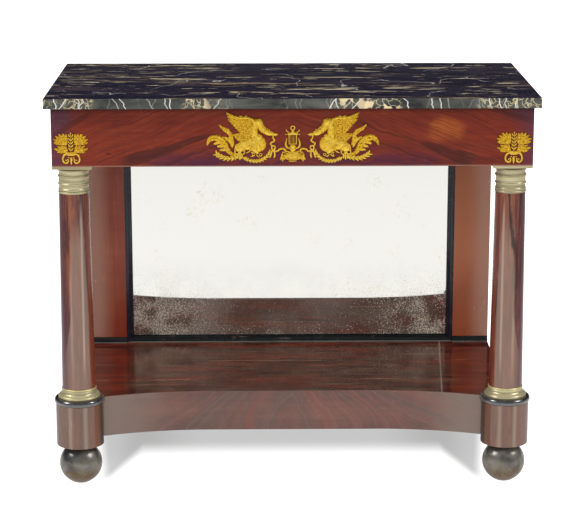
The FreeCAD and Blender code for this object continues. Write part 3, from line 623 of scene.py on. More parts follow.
def apron_flames(place, colour):
    across, _, up = parts(place)
    from_middle = abs(across)
    warp = clouds(place, 6, swirl=0.6) - 0.5
    # crotch figure: arches that stand steep about the middle and lean over towards the ends
    lean = reckon("MAXIMUM", from_middle * 7 - 0.1, 0.5)
    high = up - ARCH_FOOT
    high = high * (high * 11 + 0.15)
    arch = high * lean + from_middle + warp * 0.12
    for crosswise, start, end, share, tint in ((11, 0.48, 0.62, 0.45, paint(78, 64, 56)),
                                               (21, 0.5, 0.28, 0.7, paint(124, 60, 50)),
                                               (56, 0.5, 0.62, 0.4, paint(78, 60, 50)),
                                               (120, 0.5, 0.38, 0.25, paint(128, 90, 76))):
        fanned = node("CombineXYZ", {0: across * 2, 1: crosswise, 2: arch * crosswise})[0]
        rays = clouds(fanned, 1, swirl=0.3)
        colour = mixed(rise(rays, start, end) * share, colour, tint)
    end = rise(warp * 0.15 + from_middle, 0.27, 0.42)
    return mixed(end * 0.8, colour, paint(122, 106, 94))


APRON_RED = (paint(84, 48, 40), paint(100, 60, 50), paint(116, 72, 58))
dress(mahogany("apron_flame_veneer", "X", *APRON_RED, scratches=0.12, stain=apron_flames),
      "apron_veneer")


CRACK_ACROSS = 0.3705


def shelf_marks(place, colour):
    across, along, _ = parts(place)
    # painted reflection of the mirror and its mouldings: the middle under the mirror is painted darker and
    # olive, in strokes like a cloth's
    middle = rise(abs(across), 0.42, 0.38)
    strokes = clouds(place, (9, 60, 1), detail=6, coarse=0.72, swirl=0.3)
    painted_mirror_reflection = middle * rise(strokes, 0.44, 0.62) * 0.6
    colour = mixed(middle * 0.15, colour, paint(70, 54, 46))
    colour = mixed(painted_mirror_reflection, colour, paint(108, 86, 62))
    ruddy = clouds(place, (6, 44, 1), detail=6, coarse=0.68, swirl=0.2, shift=(3, 3, 0))
    colour = mixed(rise(ruddy, 0.46, 0.64) * 0.75, colour, paint(128, 44, 28))
    # in the same painted reflection: dark patches and pale cross strokes in the middle
    dark = rise(clouds(place, (5, 26, 1), detail=6, coarse=0.65, shift=(6, 1, 0)), 0.5, 0.66)
    colour = mixed(dark * middle * 0.6, colour, paint(30, 19, 16))
    cross = clouds(place, (230, 14, 1), detail=3, coarse=0.6)
    colour = mixed(rise(cross, 0.54, 0.66) * middle * 0.2, colour, paint(128, 110, 86))
    # long scratches: how far back they lie, their slope and their strength
    for depth, slope, strength in ((0.075, 0, 0.6), (-0.085, -0.01, 0.55), (0.15, 0.07, 0.3),
                                   (-0.13, 0, 0.25), (0.03, 0.02, 0.25)):
        line = vein(across * slope + along, depth, 0.003)
        broken = rise(clouds(place, (7, 30, 1), detail=3, shift=(depth * 90, 0, 0)), 0.46, 0.6)
        colour = mixed(line * broken * strength, colour, paint(184, 150, 118))
    # a pale crack in the polish runs from front to back near the right end
    crack = vein(across + along * -0.07 + strokes * 0.004, CRACK_ACROSS, 0.003)
    return mixed(crack * rise(ruddy, 0.3, 0.45) * 0.6, colour, paint(176, 156, 148))


SHELF_RED = (paint(58, 19, 14), paint(80, 29, 20), paint(104, 42, 28))
dress(mahogany("shelf_mahogany", "X", *SHELF_RED, polish=0.3, dull=(0.08, 0.2), scratches=0.5, shift=6,
               stain=shelf_marks, shine=0.35), "shelf_board")
dress(mahogany("shelf_side_mahogany", "Y", *APRON_RED, figure=0.2, polish=0.4, shift=8),
      "shelf_side_left", "shelf_side_right")


# ---------------------------------------------------------------- pilasters and stiles
# The back's two flat pilasters are thin mahogany boards with quiet upright grain, screwed to
# the stiles behind them. The stiles show only at the back and the sides.
PILASTER_RED = (paint(112, 46, 34), paint(132, 60, 42), paint(150, 78, 50))


def pilaster_painted_shading(place, colour):
    # painted light and shade: the right board is painted lighter, and both are painted darker and redder near
    # the shelf
    across, _, up = parts(place)
    cloudy = clouds(place, (12, 12, 3), detail=3)
    colour = mixed(rise(across, -0.1, 0.1) * 0.75, colour, paint(178, 108, 72))
    low = rise(cloudy * 0.1 + up, 0.5, 0.36)
    colour = mixed(low * 0.5, colour, paint(104, 26, 10))
    outer = rise(abs(across) + cloudy * 0.03, 0.46, 0.51)
    return mixed(outer * 0.6, colour, paint(160, 124, 108))


dress(mahogany("pilaster_mahogany", "Z", *PILASTER_RED, figure=0.25, polish=0.1, scratches=0.15, shift=4,
               stain=pilaster_painted_shading), "pilaster_left", "pilaster_right")
dress(mahogany("stile_mahogany", "Z", paint(86, 46, 28), paint(110, 62, 38), paint(134, 82, 50), polish=0.1,
               dull=(0.4, 0.6), shift=7), "rear_stile_left", "rear_stile_right")


# ---------------------------------------------------------------- mirror
# The plate is old blown glass silvered with tin and mercury, and the silvering shows through.
# Damp has foxed it: brown specks crowd the two lower corners and thin out upwards.
glass_low, glass_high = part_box("mirror_plate")
# how far from the plate's foot or rim the foxing starts, and where it is full
LOW_FOXING, CORNER_FOXING, RIM_FOXING = (0.22, 0.17), (0.24, 0.05), (0.06, 0.03)


def foxed_silvering():
    material, place = new_material("foxed_silvering")
    across, _, up = parts(place)
    above_foot = up - glass_low.z
    from_middle = abs(across)
    low_down = rise(above_foot, *LOW_FOXING)
    corner = rise(above_foot, *CORNER_FOXING) * rise(from_middle, 0.06, glass_high.x - 0.06)
    rim = reckon("MINIMUM", above_foot, glass_high.x - from_middle)
    damp = reckon("MAXIMUM", corner, rise(rim, *RIM_FOXING) * low_down * 0.45)
    cloud = clouds(place, 14, detail=5, coarse=0.65)
    damp = reckon("MAXIMUM", damp * rise(cloud, 0.25, 0.5), rise(cloud, 0.58, 0.72) * 0.45)
    fox = 0
    for frequency, dry, wet in ((240, 0.7, 0.58), (400, 0.7, 0.55), (620, 0.72, 0.54)):
        specks = clouds(stretch(place, shift=(frequency, 0, 0)), frequency, detail=2, coarse=0.6)
        limit = damp * (wet - dry) + dry
        fox = reckon("MAXIMUM", fox, rise(specks - limit, 0, 0.06))
    fox = fox * (low_down * 0.75 + 0.12)
    colour = mixed(fox, paint(245, 244, 238), paint(222, 214, 190))
    gone = rise(clouds(stretch(place, shift=(7, 0, 0)), 330, detail=3, coarse=0.6), 0.6, 0.66)
    colour = mixed(gone * corner * 0.8, colour, paint(26, 22, 24))
    flaws = rise(clouds(place, (46, 46, 32.2), detail=8, coarse=0.8), 0.68, 0.74)
    colour = mixed(flaws * 0.5, colour, paint(150, 146, 134))
    # faint yellow stains higher up, and a thin grey veil over the lower silvering
    stains = rise(clouds(place, 8, detail=3), 0.52, 0.64)
    stains = stains * rise(clouds(place, 110, detail=6, coarse=0.75), 0.52, 0.66)
    colour = mixed(stains * 0.75, colour, paint(226, 216, 190))
    veil = low_down * rise(clouds(place, 7, coarse=0.6), 0.35, 0.65) * 0.1
    surface(colour, fox * 0.5 + 0.02, cloud, relief=0.00001, Metallic=fox * -0.65 + 1 - veil)
    return material


dress(foxed_silvering(), "mirror_plate")


# ---------------------------------------------------------------- gilt mounts
# The ornaments are brass castings, chased and fire-gilt, and pinned to the frieze: two swans by a
# lyre on a bowl, and an ear of wheat between fans at each corner. Every leaf, feather and scroll
# is drawn as a line of (across, up) points, in millimetres from the frieze's lower middle.


def eased(points, pieces, closed=False):
    """A smooth line through the points, in that many short pieces, as places and directions."""
    knots = [Vector(p) for p in points]
    runs = len(knots) if closed else len(knots) - 1
    places = []
    for i in range(pieces + (0 if closed else 1)):
        t = i * runs / pieces
        k = min(int(t), runs - 1)
        t -= k
        near = [j % len(knots) if closed else min(max(j, 0), len(knots) - 1) for j in range(k - 1, k + 3)]
        a, b, c, d = [knots[j] for j in near]
        places.append(0.5 * (2 * b + (c - a) * t + (2 * a - 5 * b + 4 * c - d) * t ** 2
                             + (3 * b - a - 3 * c + d) * t ** 3))
    count = len(places)
    ways = []
    for i in range(count):
        after = places[(i + 1) % count] if closed else places[min(i + 1, count - 1)]
        ways.append((after - (places[i - 1] if closed else places[max(i - 1, 0)])).normalized())
    return places, ways


MILLIMETRE = 0.001
CREASE_HALF, BARB_DEPTH, BARB_SLANT = 0.2, 0.22, 0.1
BLADE_SECTION = (-1, -0.85, -0.55, -0.2, 0, 0.2, 0.55, 0.85, 1)


class Casting:
    """One mount's mesh, and the spot on the frieze that its drawing starts from."""

    def __init__(self, name, across, mirror):
        self.name = name
        self.origin = (across, veneer_low.y, veneer_low.z)
        self.mirror = mirror
        self.mesh = bmesh.new()
        self.crest = self.mesh.verts.layers.float.new("crest")

    def spot(self, u, v, height, crest):
        """A spot across and up on the drawing, at its height off the veneer. The crest is how far it
        stands out of its leaf, from 0 in the grooves to 1."""
        x, y, z = self.origin
        at = (x + self.mirror * u * MILLIMETRE, y - height * MILLIMETRE, z + v * MILLIMETRE)
        vert = self.mesh.verts.new(at)
        vert[self.crest] = crest
        return vert

    def skin(self, rows, closed):
        """Joins rows of spots, each with two more on the veneer, into a closed body."""
        make = self.mesh.faces.new
        for i in range(len(rows) if closed else len(rows) - 1):
            here, there = rows[i], rows[(i + 1) % len(rows)]
            for j in range(len(here)):
                k = (j + 1) % len(here)
                make((here[j], here[k], there[k], there[j])).smooth = j < len(here) - 3
        if not closed:
            make(rows[0])
            make(rows[-1])

    def blade(self, points, width, height, root=0.35, tip=0.05, peak=0.5, crease=0, barbs=0,
              closed=False):
        """A leaf, feather or strap along a line, widest at its peak. A crease sinks its middle and
        barbs groove it aslant."""
        pieces = max(8, 5 * (len(points) - 1), 5 * barbs)
        places, ways = eased(points, pieces, closed)
        rows = []
        for i, (place, way) in enumerate(zip(places, ways)):
            t = i / pieces
            if closed:
                half = width / 2
            elif t < peak:
                half = width / 2 * (root + (1 - root) * math.sin(math.pi / 2 * t / peak))
            else:
                half = width / 2 * (tip + (1 - tip) * math.cos(math.pi / 2 * (t - peak) / (1 - peak)) ** 0.75)
            row = []
            for s in BLADE_SECTION:
                groove = crease * math.exp(-(s / CREASE_HALF) ** 2)
                if barbs:
                    barb = 0.5 - 0.5 * math.cos(2 * math.pi * barbs * (t + BARB_SLANT * abs(s)))
                    groove += BARB_DEPTH * barb
                dome = 0.4 + 0.6 * math.sqrt(1 - s * s)
                crest = (1 - abs(s) ** 1.6) * (1 - min(groove * 1.8, 1))
                row.append(self.spot(place.x - way.y * half * s, place.y + way.x * half * s,
                                     height * dome * (1 - groove * 0.7), crest))
            for s in (1, -1):
                row.append(self.spot(place.x - way.y * half * s, place.y + way.x * half * s, 0, 0))
            rows.append(row)
        self.skin(rows, closed)

    def cord(self, points, width, height, **more):
        """A strap that keeps most of its width to the end."""
        self.blade(points, width, height, **{"root": 0.9, "tip": 0.5, **more})

    def loop(self, u, v, radius, width, height):
        """A ring round a spot."""
        turns = [step * math.pi / 4 for step in range(8)]
        ring = [(u + radius * math.cos(a), v + radius * math.sin(a)) for a in turns]
        self.blade(ring, width, height, closed=True)

    def boss(self, u, v, across, up, height, turn=0, rings=5, spokes=20):
        """A rounded swelling with an oval outline."""
        cos, sin = math.cos(turn), math.sin(turn)
        circles = []
        for ring in range(rings):
            lean = math.pi / 2 * ring / rings
            r, h = math.cos(lean), 0.35 + 0.65 * math.sin(lean)
            circle = []
            for spoke in range(spokes):
                a = 2 * math.pi * spoke / spokes
                x, y = across * r * math.cos(a), up * r * math.sin(a)
                circle.append(self.spot(u + x * cos - y * sin, v + x * sin + y * cos, height * h, h ** 2))
            circles.append(circle)
        x, _, z = self.origin
        base = [self.spot((c.co.x - x) / MILLIMETRE * self.mirror, (c.co.z - z) / MILLIMETRE, 0, 0)
                for c in circles[0]]
        top = self.spot(u, v, height, 1)
        for lower, upper in zip([base] + circles, circles):
            for i in range(spokes):
                k = (i + 1) % spokes
                face = self.mesh.faces.new((lower[i], lower[k], upper[k], upper[i]))
                face.smooth = lower is not base
        for i in range(spokes):
            self.mesh.faces.new((circles[-1][i], circles[-1][(i + 1) % spokes], top)).smooth = True
        self.mesh.faces.new(base)

    def finish(self, material):
        """Makes the drawn mesh a piece of the table."""
        bmesh.ops.recalc_face_normals(self.mesh, faces=self.mesh.faces)
        mesh = bpy.data.meshes.new(self.name)
        self.mesh.to_mesh(mesh)
        self.mesh.free()
        mesh.materials.append(material)
        mount = bpy.data.objects.new(self.name, mesh)
        bpy.context.scene.collection.objects.link(mount)
        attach(mount, "root")
        return mount


def between(start, end, share):
    """The point that share of the way from one to the other."""
    return tuple(a + (b - a) * share for a, b in zip(start, end))


def feather_row(cast, roots, tips, count, width, height, bow=0, barbs=6):
    """Overlapping feathers between two roots and two tips; each next one stands a little higher."""
    for i in range(count):
        share = i / (count - 1)
        root, tip = between(*roots, share), between(*tips, share)
        middle = between(root, tip, 0.5)
        middle = (middle[0] - (tip[1] - root[1]) * bow, middle[1] + (tip[0] - root[0]) * bow)
        cast.blade([root, middle, tip], width, height + 0.5 * share, root=0.55, tip=0.1, peak=0.55,
                   crease=0.45, barbs=barbs)


def sprig(cast, stem, pairs, reach, width, height):
    """A stem with pairs of pointed leaflets that slant towards its tip."""
    cast.blade(stem, width * 0.8, height, root=0.8, tip=0.3)
    places, ways = eased(stem, pairs)
    for place, way in zip(places, ways):
        for side in (-1, 1):
            slant = Vector((way.x - side * way.y * 0.8, way.y + side * way.x * 0.8))
            cast.blade([place - way * 2, place + slant * reach * 0.4, place + slant * reach * 0.8], width,
                       height - 0.2, root=0.5, tip=0.02, peak=0.35)


def on_side(side, points):
    """The points as they are for side 1, and mirrored about the middle for side -1."""
    return [(side * u, v) for u, v in points]


def swan(cast):
    # leaves behind the tail: an upright blade, two shoots, a curling acanthus and a low serrated leaf
    cast.blade([(-134, 48), (-139, 70), (-147, 81), (-157, 87), (-166.5, 95.5)], 11, 2.2, crease=0.35,
               barbs=10)
    cast.blade([(-136, 46), (-144, 60), (-157, 69)], 8, 2, crease=0.35)
    cast.blade([(-136, 44), (-140, 56), (-144.5, 69)], 8, 2.2, crease=0.35)
    for width, *lobe in ((9, (-157, 58), (-166, 56), (-179, 51.5)), (9, (-152, 49), (-160, 48), (-171, 45)),
                         (8, (-145, 38), (-154, 39), (-165, 37.5)), (6, (-160, 60), (-168, 66), (-176, 70))):
        cast.blade(lobe, width, 2.4, crease=0.3)
    cast.blade([(-128, 27), (-141, 31), (-149, 41), (-155, 53), (-163, 62), (-175, 66), (-184, 64),
                (-190.5, 58), (-194, 48)], 16, 2.9, crease=0.4, barbs=12)
    sprig(cast, [(-126, 23), (-138, 19.5), (-150, 19), (-161, 22), (-171, 28)], 6, 9.5, 4.6, 2.3)
    # garland below, and the feet that curl over it
    sprig(cast, [(-110, 20), (-98, 14.5), (-85, 12.5), (-72, 14.5), (-60, 22), (-51.5, 33)], 10, 7.2, 4, 2.4)
    cast.cord([(-94, 42), (-98, 35), (-106, 31)], 3.4, 2.6)
    cast.cord([(-94, 32), (-87, 33.5), (-80, 31), (-76, 36)], 3, 2.6)
    for u, v in ((-89, 28), (-72.5, 27)):
        cast.loop(u, v, 2.8, 2, 2.4)
    for toe in ([(-85, 28), (-90, 24), (-96, 24)], [(-83, 28), (-79, 24), (-75, 22)]):
        cast.blade(toe, 3.2, 2.2)
    # rosette with two pierced eyes, and the prongs under it
    for u, tip in ((-124, 18), (-119.5, 15.5), (-115, 18)):
        cast.blade([(u, 30), (u, 23), (u, tip)], 5, 2.2, root=0.7, tip=0.3)
    cast.boss(-119, 43, 13, 10, 3)
    cast.cord([(-131, 34), (-130, 44), (-124, 51.5), (-116, 51.5), (-109, 45), (-108, 35)], 3.2, 3.6)
    for u in (-126.6, -113.6):
        cast.loop(u, 32.7, 4.3, 3, 3.2)
    for u in (-123.5, -114.5):
        cast.loop(u, 44.5, 2.6, 2, 4)
    cast.boss(-120.1, 33, 2.4, 4.6, 3.4)
    # far wing, low and half folded
    feather_row(cast, ((-100, 58), (-98, 73)), ((-122, 57.5), (-137.5, 73)), 6, 7.5, 2.2)
    feather_row(cast, ((-90, 60), (-88, 74)), ((-108, 58), (-112, 74)), 4, 7, 3, barbs=4)
    # body and breast with rows of small feathers
    cast.boss(-103, 50, 22, 12.5, 3.2)
    cast.boss(-83, 53, 23.5, 20.5, 3.8, turn=-0.3, rings=7, spokes=28)
    cast.blade([(-92, 46), (-84, 38), (-78, 29.5)], 16, 3.2, root=0.7, tip=0.1, peak=0.3)
    for row in range(4):
        for i in range(5):
            a = math.radians(-150 + i * 34 + row * 9)
            reach = 19 - row * 4.2
            u, v = -83 + reach * math.cos(a), 54 + reach * 0.86 * math.sin(a)
            cast.blade([(u, v), (u - 3.4, v + 2.2), (u - 6.6, v + 3)], 5.4, 4 + row * 0.25, root=0.7,
                       crease=0.4)
    # near wing, raised: quills, two rows of coverts, then the arm along its front edge
    feather_row(cast, ((-101, 80), (-111, 106)), ((-121, 78), (-144, 104)), 6, 8.5, 2.6, bow=0.05)
    feather_row(cast, ((-108, 98), (-112, 108)), ((-146, 108), (-150, 122)), 3, 8.5, 2.9, bow=0.04, barbs=8)
    feather_row(cast, ((-91, 78), (-98, 106)), ((-110, 77), (-123, 107)), 7, 8, 3.4, bow=0.04)
    feather_row(cast, ((-84, 76), (-90, 104)), ((-99, 76), (-106, 105)), 7, 7.5, 3.9, barbs=4)
    cast.cord([(-84, 96), (-91, 107), (-103, 111), (-119, 111.5), (-133, 115.5), (-150, 124.5)], 7.5, 4.5,
              root=1, tip=0.15, peak=0.2, barbs=12)
    for u, v in ((-117, 114), (-106, 114)):
        cast.boss(u, v, 5, 3.2, 3.6, spokes=12, rings=3)
    # neck in an S, head with crest, eye and parted beak
    cast.boss(-78, 66, 9, 9, 3.8, turn=0.5)
    cast.cord([(-87, 58), (-87, 74), (-86.5, 90), (-82, 100), (-77, 101), (-74, 95), (-70, 88), (-63.5, 82),
               (-55, 78)], 19.5, 4.4, root=1, tip=0.66, peak=0.2, barbs=16)
    cast.boss(-77, 101, 9, 9.5, 4.5)
    for crest in ([(-58, 81), (-57.5, 88)], [(-62, 82), (-64, 88)], [(-54, 80), (-52, 85.5)]):
        cast.blade(crest, 3.6, 3, root=0.8)
    cast.boss(-55, 77, 10.6, 6.4, 4.4, turn=-0.2)
    cast.loop(-53, 78, 1.9, 1.3, 5.2)
    cast.boss(-53, 78, 0.8, 0.8, 5.4, spokes=10, rings=3)
    cast.blade([(-48, 75.5), (-42, 75), (-33.5, 73)], 5.6, 3.2, root=0.9)
    cast.blade([(-48, 72), (-41, 71.6), (-36, 70.8)], 3.4, 2.6, root=0.9)
    # ribbon from the beak to a ring and a knot with two tails
    cast.cord([(-45, 71), (-44.6, 65), (-41, 60), (-45, 56.5), (-50.4, 52.5), (-48, 48.6), (-43.5, 48.4)],
              3.9, 2.4)
    cast.loop(-43.9, 43.4, 4.2, 3.6, 2.6)
    cast.blade([(-46, 36), (-49, 29), (-52, 20)], 4.6, 2.2, root=0.6, peak=0.75, tip=0.4)
    cast.blade([(-43, 36), (-40.6, 28), (-42.6, 20)], 4.6, 2.2, root=0.6, peak=0.75, tip=0.4)
    cast.boss(-44.4, 37, 4.4, 3.4, 3)


def lyre(cast):
    for side in (-1, 1):
        # inner post and outer arm, with two tuning pegs
        cast.cord(on_side(side, [(8.2, 74), (8.6, 64), (8.2, 52)]), 2.8, 2.8)
        cast.cord(on_side(side, [(13.2, 65), (15.2, 57), (15.8, 50), (12.5, 43.5), (6, 41)]), 5.2, 3.2,
                  root=0.3, peak=0.6)
        cast.cord(on_side(side, [(9, 76.5), (12, 79.5), (14.6, 83)]), 2.4, 2.2, tip=0.9)
        cast.cord(on_side(side, [(9, 74.5), (13, 73.8), (17, 73.2)]), 2.2, 2.2, tip=0.9)
        cast.boss(side * 14.6, 83, 1.5, 1.5, 2.4, spokes=10, rings=3)
        # scroll that rises from the bowl and takes the ribbon, and the leaves that hang from it
        cast.cord(on_side(side, [(40, 35), (35, 35), (30, 39.5), (23, 41.2), (17, 37.5), (18.6, 32.5),
                                 (23, 33.5)]), 5, 2.8, root=0.5, peak=0.6)
        cast.loop(side * 38.5, 35, 2, 1.6, 2.2)
        for lobe in ([(22, 33), (24.5, 26), (23.8, 19)], [(22, 26), (26, 20), (28.5, 15)],
                     [(22, 24), (23.5, 17), (22.5, 11)], [(21, 25), (20, 19), (19.2, 15)]):
            cast.blade(on_side(side, lobe), 4.6, 2.4, crease=0.4)
        for start, reach in ((4, 16), (7, 12)):
            curl = [(start, 45 - reach), (start + 7, 47 - reach), (start + 13, 44 - reach)]
            cast.blade(on_side(side, curl), 4, 4, crease=0.3)
    # crossbar, ring finial, strings and bridge
    cast.blade([(-11, 73), (0, 76), (11, 73)], 8, 3, root=0.45, tip=0.45)
    cast.blade([(0, 74), (0, 79), (0, 84)], 8.5, 3.2, root=1, tip=0.3, peak=0.2)
    cast.loop(0, 88.2, 4.4, 3.2, 3.2)
    for u in (-4.8, -1.6, 1.6, 4.8):
        cast.cord([(u, 74), (u, 62), (u, 51)], 1.1, 1.6, tip=0.9)
    cast.cord([(-9.5, 52), (0, 51.4), (9.5, 52)], 2.6, 2.6, tip=0.9)
    # stem with a collar, and the footed bowl with its ridges
    cast.blade([(0, 49.5), (0, 42), (0, 31)], 15, 3.4, root=0.9, tip=0.9, peak=0.1, barbs=3)
    cast.cord([(-11.5, 33.5), (0, 32), (11.5, 33.5)], 3.6, 3.8, tip=0.9)
    cast.boss(0, 24, 22, 10.5, 4, rings=7, spokes=28)
    for drop, half in ((29.5, 20.5), (25, 19.5), (20.5, 17), (16.4, 12)):
        cast.cord([(-half, drop + 2.4), (-half / 2, drop - 0.4), (0, drop - 1.2), (half / 2, drop - 0.4),
                   (half, drop + 2.4)], 3.2, 4.9, root=0.4, tip=0.4, barbs=9)
    cast.cord([(-9, 12.8), (0, 12), (9, 12.8)], 2.6, 3.2)


def fan(cast, side, hub, tips, width, height):
    """Leaves that spread from a hub, each with its reach and its turn in degrees."""
    for reach, turn in tips:
        a = math.radians(turn)
        end = (hub[0] + reach * math.cos(a), hub[1] + reach * math.sin(a))
        cast.blade(on_side(side, (hub, between(hub, end, 0.6), end)), width, height, root=0.45,
                   tip=0.04, peak=0.55, crease=0.45, barbs=4)


def wheat_and_fans(cast):
    for side in (-1, 1):
        # lower fan, then the upper fan over it
        fan(cast, side, (8, 34), ((17, 70), (21.5, 50), (27.5, 32), (31.5, 15), (24, 2)), 6.8, 2.6)
        fan(cast, side, (9.5, 51.5), ((24, 88), (27, 71), (30, 54), (31.5, 38), (32, 22), (29, 8)),
            7.6, 3.4)
        cast.boss(side * 13, 38, 3, 2.4, 3.8, spokes=12, rings=3)
        # scroll below, ending in a bead
        scroll = [(6, 31), (12, 29.5), (17, 25), (19, 18), (16.6, 11.5), (11.4, 9), (7.2, 11.8), (7, 16),
                  (9.6, 18.6)]
        cast.cord(on_side(side, scroll), 4.8, 3.4, root=0.9, tip=0.5, peak=0.3)
        cast.boss(side * 11.4, 15.2, 2.1, 2.1, 3.4, spokes=12, rings=3)
        cast.boss(side * 5.6, 21.4, 1.8, 1.8, 3, spokes=12, rings=3)
        # grains of the ear
        for row in range(5):
            foot = 38 + row * 7.6
            grain = on_side(side, [(0.6, foot), (3.4, foot + 2.6), (5.6, foot + 7)])
            cast.blade(grain, 3.2, 3.2, root=0.5, peak=0.6)
    cast.cord([(0, 32), (0, 52), (0, 73)], 1.6, 2.2, tip=0.8)
    cast.boss(0, 76.5, 2, 2.4, 3.2, spokes=12, rings=3)
    cast.boss(0, 30, 12.5, 5, 3.4)
    for side in (-1, 1):
        cast.blade(on_side(side, [(1, 28), (7, 33), (12.5, 30.5)]), 5, 4.6, crease=0.5)
    cast.blade([(0, 22), (0, 15), (0, 6.5)], 7, 3.2, root=0.5, peak=0.4, crease=-0.2)
    cast.boss(0, 7.4, 1.8, 1.8, 3.6, spokes=12, rings=3)


def fire_gilding():
    material, place = new_material("fire_gilding")
    crest = node("Attribute", {}, attribute_name="crest")["Fac"]
    grain = clouds(place, 420, detail=3, coarse=0.6)
    patches = clouds(place, 60, coarse=0.6)
    dents = clouds(place, 300, detail=2, coarse=0.5)
    # painted shade and highlight: the gilding is painted dark reddish in the grooves and bright on the crests
    high = crest + (grain - 0.5) * 1.1 + (dents - 0.46) * 1.8
    colour = mixed(rise(high, 0, 0.36), paint(116, 50, 10), paint(226, 172, 32))
    colour = mixed(rise(high, 0.4, 1), colour, paint(255, 216, 84))
    colour = mixed(rise(patches, 0.56, 0.72) * 0.35, colour, paint(226, 150, 72))
    surface(colour, high * -0.18 + 0.5, grain, relief=0.00012, Metallic=0.85)
    return material


gilding = fire_gilding()
corner_across = sum(v.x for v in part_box("corner_mount_right")) / 2
for name, draw, across, mirror in (("swan_left", swan, 0, 1), ("swan_right", swan, 0, -1),
                                   ("lyre", lyre, 0, 1),
                                   ("corner_left", wheat_and_fans, -corner_across, 1),
                                   ("corner_right", wheat_and_fans, corner_across, 1)):
    casting = Casting(name + "_relief", across, mirror)
    draw(casting)
    stem, _, side = name.partition("_")
    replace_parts(casting.finish(gilding), stem + "_mount" + ("_" + side if side else ""))


# ---------------------------------------------------------------- screws and pins
# Hand-cut iron screws, dark with rust, hold the backboard, the pilasters, the column blocks and
# the plinths. The gilt mounts hang on pins of brass wire.


def dark_iron():
    material, place = new_material("dark_iron")
    rust = clouds(place, 90, detail=5, coarse=0.6)
    colour = mixed(rise(rust, 0.45, 0.7), paint(108, 104, 98), paint(82, 52, 36))
    surface(colour, rust * 0.4 + 0.3, rust, relief=0.0001, Metallic=0.9)
    return material


dress(dark_iron(), "backboard_screws", "pilaster_screws", "column_block_screws", "plinth_screws")
dress(turned_brass, "mount_pins")


# ---------------------------------------------------------------- floor, light and camera
# A white floor and soft studio light: two soft boxes stand in front to the left and the right,
# and a pale room fills the shadows.
FLOOR_HALF = 60
# from where to where the white paper and the painted shade under the table fade out
PAPER_SIDES, PAPER_FRONT = (2.4, 1.6), (-5, -4.4)
SHADE_FRONT, SHADE_SIDES, SHADE_BACK = (-0.08, 0.07), (0.5, 0.45), (0.6, 0.35)
WHITE, BACKDROP_STRENGTH = (1, 1, 1, 1), 1
LENS, CAMERA_PLACE = 123.1, (-0.066, -4.73, 1.614)
CAMERA_TILT, CAMERA_TURN = 90 - 13.62, -0.84


def seen_directly():
    """1 for what the camera sees, straight or in metal, glass and polish."""
    path = node("LightPath", {})
    straight = reckon("MAXIMUM", path["Is Camera Ray"], path["Is Glossy Ray"])
    return reckon("MAXIMUM", straight, path["Is Transmission Ray"])


floor_mesh = bpy.data.meshes.new("floor")
floor_build = bmesh.new()
bmesh.ops.create_grid(floor_build, x_segments=4, y_segments=4, size=FLOOR_HALF)
floor_build.to_mesh(floor_mesh)
floor_build.free()
floor = bpy.data.objects.new("floor", floor_mesh)
bpy.context.scene.collection.objects.link(floor)
floor_material, place = new_material("white_floor")
floor_x, floor_y, _ = parts(place)
from_side = abs(floor_x)
sheet = rise(from_side, *PAPER_SIDES) * rise(floor_y, *PAPER_FRONT)
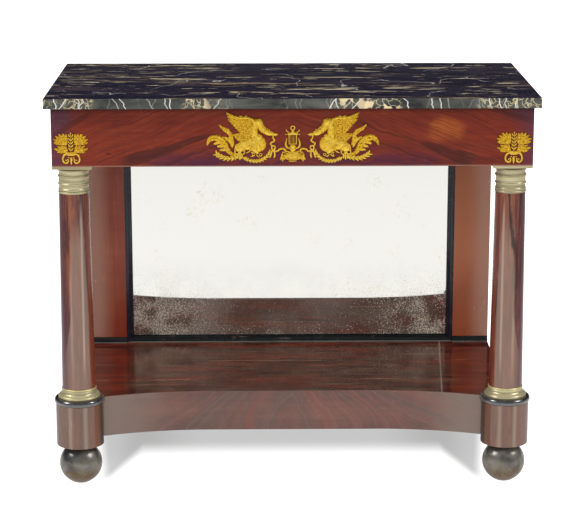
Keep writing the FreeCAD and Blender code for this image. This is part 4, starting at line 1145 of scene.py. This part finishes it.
# painted shadow: the floor is darker under the table and glows less for the camera there; its front edge runs
# level in the middle and out to the balls
shade_edge = floor_y + reckon("MAXIMUM", from_side - 0.37, 0) * 3.2
under = rise(shade_edge, *SHADE_FRONT) * rise(floor_y, *SHADE_BACK)
under = under * rise(from_side + floor_y * -0.12, *SHADE_SIDES)
paper = mixed(sheet, (0.45, 0.45, 0.45, 1), (0.8, 0.8, 0.8, 1))
paper = mixed(under, paper, (0.35, 0.355, 0.36, 1))
lift = under * (rise(from_side, 0.2, 0.42) * -0.14 - 0.45) + 0.8
seen = node("LightPath", {})["Is Camera Ray"] * lift + seen_directly() * (sheet * 0.15 + 0.05)
surface(paper, 0.9, Specular_IOR_Level=0, Emission_Color=WHITE, Emission_Strength=seen)
floor_mesh.materials.append(floor_material)

world = bpy.data.worlds.new("studio")
bpy.context.scene.world = world
world.use_nodes = True
world.node_tree.nodes.clear()
work_in(world.node_tree)
_, depth, upward = parts(node("TexCoord", {})["Generated"])
dim = mixed(rise(depth, 0.2, -0.5), (0.012, 0.012, 0.016, 1), (0.075, 0.075, 0.068, 1))
room = mixed(rise(upward, 0.02, 0.1), WHITE, dim)
room = mixed(node("LightPath", {})["Is Camera Ray"], room, WHITE)
shown = node("Background", {"Color": room, "Strength": BACKDROP_STRENGTH})[0]
window = rise(depth, -0.35, -0.7) * rise(upward, 0.25, 0.35) * rise(upward, 0.75, 0.6)
fill = node("Background", {"Color": WHITE, "Strength": window * 3 + 0.25})[0]
node("OutputWorld", {0: node("MixShader", {0: seen_directly(), 1: fill, 2: shown})[0]})

middle = (Vector(cad_box[0]) + Vector(cad_box[1])) / 2


def soft_box(name, azimuth, elevation, distance, size, watts):
    """A square lamp that looks at the table's middle. Azimuth 0 is straight in front."""
    lamp = bpy.data.lights.new(name, "AREA")
    lamp.shape = "SQUARE"
    lamp.size = size
    lamp.energy = watts
    holder = bpy.data.objects.new(name, lamp)
    a, e = math.radians(azimuth), math.radians(elevation)
    away = Vector((math.sin(a) * math.cos(e), -math.cos(a) * math.cos(e), math.sin(e)))
    holder.location = middle + away * distance
    holder.rotation_euler = away.to_track_quat("Z", "Y").to_euler()
    bpy.context.scene.collection.objects.link(holder)


soft_box("soft_box_left", azimuth=-71, elevation=40, distance=7, size=2.2, watts=170)
soft_box("soft_box_right", azimuth=71, elevation=40, distance=7, size=2.2, watts=155)

camera = bpy.data.objects.new("camera", bpy.data.cameras.new("camera"))
camera.data.sensor_width = 36
camera.data.lens = LENS
camera.data.clip_end = 200
camera.location = CAMERA_PLACE
camera.rotation_euler = (math.radians(CAMERA_TILT), 0, math.radians(CAMERA_TURN))
bpy.context.scene.collection.objects.link(camera)
bpy.context.scene.camera = camera
bpy.context.scene.view_settings.view_transform = "Standard"
